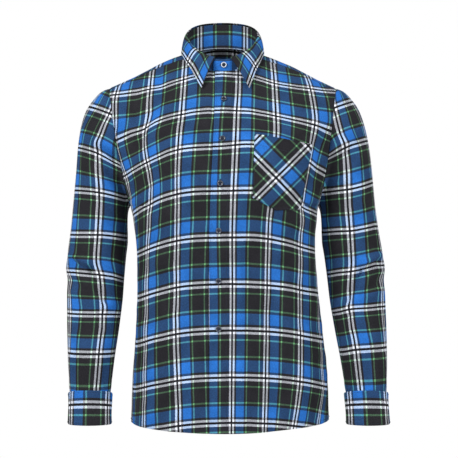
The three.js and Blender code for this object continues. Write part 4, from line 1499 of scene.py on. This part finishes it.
def sewn_cross():
    """The thread through the four holes: two parallel strands on each diagonal."""
    shape = bmesh.new()
    top = (BUTTON_THICK - 0.8) * MM
    for a in (math.pi / 4, 3 * math.pi / 4):
        for offset in (-0.17, 0.17):
            path = []
            for t in np.linspace(-1, 1, 9):
                rise = top + 0.35 * MM * (1 - t**4) - 1.2 * MM * max(0, abs(t) - 0.85) / 0.15
                x, y = t * 1.5 * MM, offset * MM
                path.append(Vector((x * math.cos(a) - y * math.sin(a),
                                    x * math.sin(a) + y * math.cos(a), rise)))
            tube(shape, path, 0.17 * MM, 6)
    mesh = bpy.data.meshes.new("sewn_cross")
    shape.to_mesh(mesh)
    shape.free()
    mesh.shade_smooth()
    return mesh


def tube(shape, path, radius, sides):
    rings = []
    for k, spot in enumerate(path):
        ahead = (path[min(k + 1, len(path) - 1)] - path[max(k - 1, 0)]).normalized()
        aside = ahead.orthogonal().normalized()
        up = ahead.cross(aside)
        ring = [shape.verts.new(spot + (aside * math.cos(a) + up * math.sin(a)) * radius)
                for a in np.linspace(0, 2 * math.pi, sides, endpoint=False)]
        rings.append(ring)
    for lower, upper in zip(rings, rings[1:]):
        for k in range(sides):
            shape.faces.new([lower[k], lower[(k + 1) % sides], upper[(k + 1) % sides], upper[k]])
    shape.faces.new(rings[0][::-1])
    shape.faces.new(rings[-1])


def facing(place, normal, spin):
    """Stands a shape's +Z along a normal at a place, in metres."""
    turn = Vector((0, 0, 1)).rotation_difference(Vector(normal)).to_matrix().to_4x4()
    return Matrix.Translation(Vector(place) * MM) @ turn @ Matrix.Rotation(spin, 4, "Z")


class SHIRT_OT_buttons(bpy.types.Operator):
    """Makes the buttons and the thread that holds each of them"""

    bl_idname = "shirt.buttons"
    bl_label = "Buttons"

    def execute(self, context):
        trim = context.scene.shirt_trim
        resin = finish_of("Button resin", button_material, trim)
        thread = finish_of("Sewing thread", thread_material, trim)
        shape = button_shape(trim.button_radius)
        cross = sewn_cross()
        for count, (node, (place, normal)) in enumerate(button_places().items()):
            for source, name, material, slot, nodes in (
                (shape, node + "_resin", resin, "button", (node,)),
                (cross, node + "_thread", thread, "button", ()),
            ):
                mesh = source.copy()
                if source == shape:
                    # Painted highlight on the rim: full on the collar button, faint on the others.
                    paint_rim_highlight(mesh, trim.button_radius, 1.0 if node == "button_collar" else 0.22)
                mesh.transform(facing(place, normal, 0.35 * math.sin(count * 2.3)))
                made = bpy.data.objects.new(name, mesh)
                context.scene.collection.objects.link(made)
                dress(made, material, slot, *nodes)
        bpy.data.meshes.remove(shape)
        bpy.data.meshes.remove(cross)
        return {"FINISHED"}


# ---------------------------------------------------------------- stitching


def stitch_nodes():
    """Nodes that lay thread along seam lines, one stitch after another."""
    tree = bpy.data.node_groups.get("Stitches on seams")
    if tree:
        return tree
    tree = bpy.data.node_groups.new("Stitches on seams", "GeometryNodeTree")
    for name, kind in (
        ("Seams", "Geometry"), ("Pitch", "Float"), ("Along", "Float"), ("Across", "Float"),
        ("Height", "Float"), ("Facing", "Vector"), ("Seed", "Int"), ("Thread", "Material"),
    ):
        tree.interface.new_socket(name, in_out="INPUT", socket_type="NodeSocket" + kind)
    tree.interface.new_socket("Stitches", in_out="OUTPUT", socket_type="NodeSocketGeometry")
    nodes = Nodes(tree)
    given = nodes.add("NodeGroupInput").outputs
    curves = nodes.add("GeometryNodeMeshToCurve", {0: given["Seams"]}).outputs[0]
    even = nodes.add(
        "GeometryNodeResampleCurve", {"Curve": curves, "Length": given["Pitch"]}, mode="LENGTH"
    ).outputs[0]
    spots = nodes.add("GeometryNodeCurveToPoints", {0: even}, mode="EVALUATED").outputs
    flat = nodes.add(
        "FunctionNodeAlignRotationToVector", {"Vector": given["Facing"]}, axis="Y"
    ).outputs[0]
    turn = nodes.add(
        "FunctionNodeAlignRotationToVector", {"Rotation": flat, "Vector": spots["Tangent"]},
        axis="Z", pivot_axis="Y",
    ).outputs[0]
    vary = nodes.add("FunctionNodeRandomValue", {"Seed": given["Seed"]}, data_type="FLOAT")
    vary.inputs[2].default_value = 0.85
    vary.inputs[3].default_value = 1.1
    length = nodes.math("MULTIPLY", given["Along"], vary.outputs[1])
    size = nodes.add(
        "ShaderNodeCombineXYZ", {0: given["Across"], 1: given["Height"], 2: length}
    ).outputs[0]
    bead = nodes.add(
        "GeometryNodeMeshUVSphere", {"Segments": 6, "Rings": 4, "Radius": 0.5}
    ).outputs[0]
    laid = nodes.add(
        "GeometryNodeInstanceOnPoints",
        {"Points": spots["Points"], "Instance": bead, "Rotation": turn, "Scale": size},
    ).outputs[0]
    real = nodes.add("GeometryNodeRealizeInstances", {0: laid}).outputs[0]
    finished = nodes.add(
        "GeometryNodeSetMaterial", {"Geometry": real, "Material": given["Thread"]}
    ).outputs[0]
    nodes.add("NodeGroupOutput", {0: finished})
    return tree


def sew(context, name, lines, seed, hole=False, facing=(0, -1, 0)):
    """Stitches along lines given in millimetres; hole makes the close bars of a buttonhole."""
    trim = context.scene.shirt_trim
    spots, edges = [], []
    for line in lines:
        edges.extend((len(spots) + k, len(spots) + k + 1) for k in range(len(line) - 1))
        spots.extend((np.asarray(line) * MM).tolist())
    mesh = bpy.data.meshes.new(name)
    mesh.from_pydata(spots, edges, [])
    piece = bpy.data.objects.new(name, mesh)
    context.scene.collection.objects.link(piece)
    work = piece.modifiers.new("Stitches", "NODES")
    work.node_group = stitch_nodes()
    thread = finish_of("Sewing thread", thread_material, trim)
    values = {
        "Pitch": trim.bar_pitch if hole else trim.stitch_pitch,
        "Along": trim.bar_pitch if hole else trim.stitch_length,
        "Across": trim.bar_length if hole else trim.thread_width,
        "Height": trim.thread_width, "Facing": facing, "Seed": seed, "Thread": thread,
    }
    for socket in work.node_group.interface.items_tree:
        if socket.in_out == "INPUT" and socket.name in values:
            work[socket.identifier] = values[socket.name]
    context.view_layer.update()
    settle(piece)
    if not piece.data.polygons:
        raise RuntimeError(name + " has no stitches")
    dress(piece, thread, "flannel")
    return piece


def outside_neck(line):
    return line[neck_level(line) > 3]


def row_line(at, first, last, count=240):
    """A line across the body on one row, between two distances from the centre."""
    across = np.linspace(first, last, count)
    return body_point(np.full(count, float(at)), across, 0.05, fine=True)


def armhole_line(side, first, last):
    at = np.linspace(first, last, 120)
    return body_point(at, side * (row_length(at) - 5), 0.05, fine=True)


def body_seams():
    """Seam lines of the fronts, the back and the yoke."""
    rows = np.linspace(HEM_FRONT + 2, YOKE_FRONT - 2, 260)
    middle = closing_line(smooth_body(rows, 0)[:, 2])
    hem, hem_middle = HEM_FRONT + 7, middle[0]
    left = [
        outside_neck(body_point(rows, middle + shift, 0.3, fine=True)) for shift in (-15, 15)
    ]
    left.append(row_line(hem, hem_middle - 17, row_length(hem) - 2))
    left.append(armhole_line(1, 2, YOKE_FRONT - 2))
    right = [row_line(hem, hem_middle + 16, 2 - row_length(hem)), armhole_line(-1, 2, YOKE_FRONT - 2)]
    low = HEM_BACK - 7
    back = [row_line(low, 2 - row_length(low), row_length(low) - 2)]
    yoke = [row_line(YOKE_BACK - 3, 2 - row_length(YOKE_BACK), row_length(YOKE_BACK) - 2)]
    for side in (-1, 1):
        back.append(armhole_line(side, YOKE_BACK + 2, 358))
        yoke.append(armhole_line(side, YOKE_FRONT + 2, YOKE_BACK - 2))
        seam = row_line(YOKE_FRONT + 3, side * 30, side * (row_length(YOKE_FRONT) - 2))
        yoke.append(outside_neck(seam))
    return {"front_left": left, "front_right": right, "back": back, "yoke": yoke}


def collar_seams():
    """Seam lines near the edges of the leaf and of the stand."""
    walk = np.linspace(-0.975, 0.975, 300)
    side, share = np.where(walk < 0, -1.0, 1.0), 1 - np.abs(walk)
    start = math.asin(LEAF_START / NECK["half_width"])
    angle = side * (start + (math.pi - start) * share)
    depth = np.linalg.norm(
        leaf_section(side, share, angle, np.zeros(300)) - leaf_section(side, share, angle, np.ones(300)),
        axis=-1,
    )
    level = 1 - LEAF_SEAM / (depth * 1.08)
    leaf = [leaf_section(side, share, angle, level)]
    for end in (-1.0, 1.0):
        down = np.linspace(0.15, 0.9, 30)
        ends, shares = np.full(30, end), np.full(30, 0.025)
        leaf.append(leaf_section(ends, shares, end * (start + (math.pi - start) * shares), down))
    around = np.linspace(0.1, -2 * math.pi - 0.1, 300)
    bottom, top = around_neck(STAND_BOTTOM, around), around_neck(STAND_TOP, around)
    lapped = LAP * smoothstep(-4.3, -5.4, around)
    stand = [neck_point(around, lapped, bottom + 3), neck_point(around, lapped, top - 4)]
    stand.append(neck_point(around, lapped - 1.5, bottom + 3))
    return {"collar_leaf": leaf, "collar_stand": stand}


def cuff_seams(side):
    around = CUFF["lap_start"] + (360 + CUFF["lap_angle"]) * np.linspace(0.01, 0.99, 200)
    out = LAP * smoothstep(0.78, 0.9, np.linspace(0.01, 0.99, 200)) + 0.3
    lines = [cuff_point(side, around, level, out) for level in (0.06, 0.94)]
    lines.append(cuff_point(side, around[-1], np.linspace(0.06, 0.94, 30), LAP + 0.3))
    return lines


def pocket_seams():
    down, across = np.linspace(0.01, 0.98, 60), np.linspace(0.02, 0.98, 60)
    lines = [pocket_point(np.full(60, edge), down)[0] for edge in (0.02, 0.98)]
    lines.append(pocket_point(across, np.full(60, 0.98))[0])
    lines.append(pocket_point(across, np.full(60, 0.165))[0])
    return lines


def oval(centre, along, across):
    turn = np.linspace(0, 2 * math.pi, 49)[:, None]
    return centre + np.sin(turn) * along + np.cos(turn) * across


class SHIRT_OT_stitching(bpy.types.Operator):
    """Sews the seams and the buttonholes"""

    bl_idname = "shirt.stitching"
    bl_label = "Stitching"

    def execute(self, context):
        seams = {**body_seams(), **collar_seams(), "pocket": pocket_seams()}
        seams["cuff_left"], seams["cuff_right"] = cuff_seams(1), cuff_seams(-1)
        for seed, (name, lines) in enumerate(seams.items(), start=1):
            sew(context, name + "_stitches", lines, seed)
        places = button_places()
        up = np.array([0.0, 0.0, 1.0])
        for seed, (node, (place, normal)) in enumerate(places.items(), start=20):
            sideways = unit(np.cross(up, normal))
            upright = node.startswith("button_front")
            long = np.cross(normal, sideways) if upright else sideways
            wide = sideways if upright else np.cross(normal, sideways)
            centre = place - normal * (BUTTON_SEAT - 0.15)
            line = oval(centre, long * HOLE_LENGTH / 2, wide * 1.1)
            name = node.replace("button", "buttonhole") + "_stitches"
            sew(context, name, [line], seed, hole=True, facing=tuple(normal))
        return {"FINISHED"}


# ---------------------------------------------------------------- stage


class SHIRT_OT_stage(bpy.types.Operator):
    """Sets the pale floor, the soft lights and the camera"""

    bl_idname = "shirt.stage"
    bl_label = "Stage"

    def execute(self, context):
        stage = context.scene.shirt_stage
        shape = bmesh.new()
        bmesh.ops.create_circle(shape, cap_ends=True, segments=96, radius=3.0)
        mesh = bpy.data.meshes.new("floor")
        shape.to_mesh(mesh)
        shape.free()
        mesh.transform(Matrix.Translation((0, 0, stage.floor_height)))
        mesh.materials.append(ground_material(tuple(stage.floor_colour)))
        floor = bpy.data.objects.new("floor", mesh)
        context.scene.collection.objects.link(floor)
        world = bpy.data.worlds.new("Soft white surround")
        context.scene.world = world
        world.use_nodes = True
        nodes = Nodes(world.node_tree)
        plain = nodes.add("ShaderNodeBackground", {"Color": (1, 1, 1, 1), "Strength": 1.0})
        glow = nodes.add(
            "ShaderNodeBackground", {"Color": (1, 1, 1, 1), "Strength": stage.surround}
        )
        seen = nodes.add("ShaderNodeLightPath").outputs["Is Camera Ray"]
        both = nodes.add(
            "ShaderNodeMixShader", {0: seen, 1: glow.outputs[0], 2: plain.outputs[0]}
        )
        nodes.add("ShaderNodeOutputWorld", {0: both.outputs[0]})
        for name, power, spot, size in (
            ("key", stage.key_light, (-2.2, -2.1, 1.5), 1.2),
            ("fill", stage.fill_light, (2.3, -2.0, 0.9), 1.4),
        ):
            data = bpy.data.lights.new(name, "AREA")
            data.energy = power
            data.size = size
            light = bpy.data.objects.new(name, data)
            light.location = spot
            aim = Vector((0, 0, -0.35)) - Vector(spot)
            light.rotation_euler = aim.to_track_quat("-Z", "Y").to_euler()
            context.scene.collection.objects.link(light)
        data = bpy.data.cameras.new("camera")
        data.sensor_width = 36
        data.sensor_fit = "HORIZONTAL"
        data.lens = 36 * 3.2 / 0.934
        data.clip_end = 50
        camera = bpy.data.objects.new("camera", data)
        camera.location = (0.010, -3.2, -0.345)
        camera.rotation_euler = (math.pi / 2, 0, 0)
        context.scene.collection.objects.link(camera)
        context.scene.camera = camera
        context.scene.view_settings.view_transform = "Standard"
        return {"FINISHED"}


# ---------------------------------------------------------------- sheets of cloth

# How each piece of cloth was cut: width, length and flat area in metres, how it is held, and what
# carries it.
SHEETS = {
    "yoke": (0.5, 0.17, 0.069, "stretched", ()),
    "back": (0.52, 0.72, 0.321, "hung", ("yoke",)),
    "front_left": (0.33, 0.8, 0.214, "hung", ("yoke",)),
    "front_right": (0.31, 0.8, 0.197, "hung", ("yoke",)),
    "sleeve_left": (0.4, 0.64, 0.19, "gathered", ("front_left", "back", "yoke")),
    "sleeve_right": (0.4, 0.64, 0.19, "gathered", ("front_right", "back", "yoke")),
    "cuff_left": (0.302, 0.062, 0.0183, "folded", ("sleeve_left",)),
    "cuff_right": (0.302, 0.062, 0.0183, "folded", ("sleeve_right",)),
    "collar_stand": (0.46, 0.056, 0.0188, "stretched", ("yoke", "front_left", "front_right")),
    "collar_leaf": (0.47, 0.078, 0.0254, "folded", ("collar_stand",)),
    "pocket": (0.13, 0.152, 0.0162, "laid", ("front_left",)),
}


def declare_cloth():
    for name, (width, length, area, held, carriers) in SHEETS.items():
        stitches = [
            piece for piece in bpy.data.objects
            if piece.name.startswith((name + "_stitches", "buttonhole_" + name))
        ]
        if name == "front_left":
            stitches += [p for p in bpy.data.objects if p.name.startswith("buttonhole_front")]
        if name == "collar_stand":
            stitches.append(bpy.data.objects["buttonhole_collar_stitches"])


# ---------------------------------------------------------------- panel and run

PIECE_ORDER = [
    "fronts", "back", "sleeves", "cuffs", "collar", "pocket", "buttons", "stitching", "stage",
]


class SHIRT_PT_pieces(bpy.types.Panel):
    """Lists the settings and the pieces of the shirt"""

    bl_label = "Shirt"
    bl_idname = "SHIRT_PT_pieces"
    bl_space_type = "VIEW_3D"
    bl_region_type = "UI"
    bl_category = "Shirt"

    def draw(self, context):
        layout = self.layout
        for settings in (context.scene.shirt_cloth, context.scene.shirt_trim,
                         context.scene.shirt_stage):
            box = layout.box()
            for name in settings.bl_rna.properties.keys():
                if name not in ("rna_type", "name"):
                    box.prop(settings, name)
        for word in PIECE_ORDER:
            layout.operator("shirt." + word)


CLASSES = (
    ShirtCloth, ShirtTrim, ShirtStage, SHIRT_OT_fronts, SHIRT_OT_back, SHIRT_OT_sleeves,
    SHIRT_OT_cuffs, SHIRT_OT_collar, SHIRT_OT_pocket, SHIRT_OT_buttons, SHIRT_OT_stitching,
    SHIRT_OT_stage,
    SHIRT_PT_pieces,
)


def register():
    for made in CLASSES:
        bpy.utils.register_class(made)
    bpy.types.Scene.shirt_cloth = bpy.props.PointerProperty(type=ShirtCloth)
    bpy.types.Scene.shirt_trim = bpy.props.PointerProperty(type=ShirtTrim)
    bpy.types.Scene.shirt_stage = bpy.props.PointerProperty(type=ShirtStage)


def unregister():
    del bpy.types.Scene.shirt_stage
    del bpy.types.Scene.shirt_trim
    del bpy.types.Scene.shirt_cloth
    for made in reversed(CLASSES):
        bpy.utils.unregister_class(made)


def main():
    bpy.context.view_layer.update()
    register()
    for word in PIECE_ORDER:
        getattr(bpy.ops.shirt, word)()
    declare_cloth()


if __name__ == "__main__":
    main()
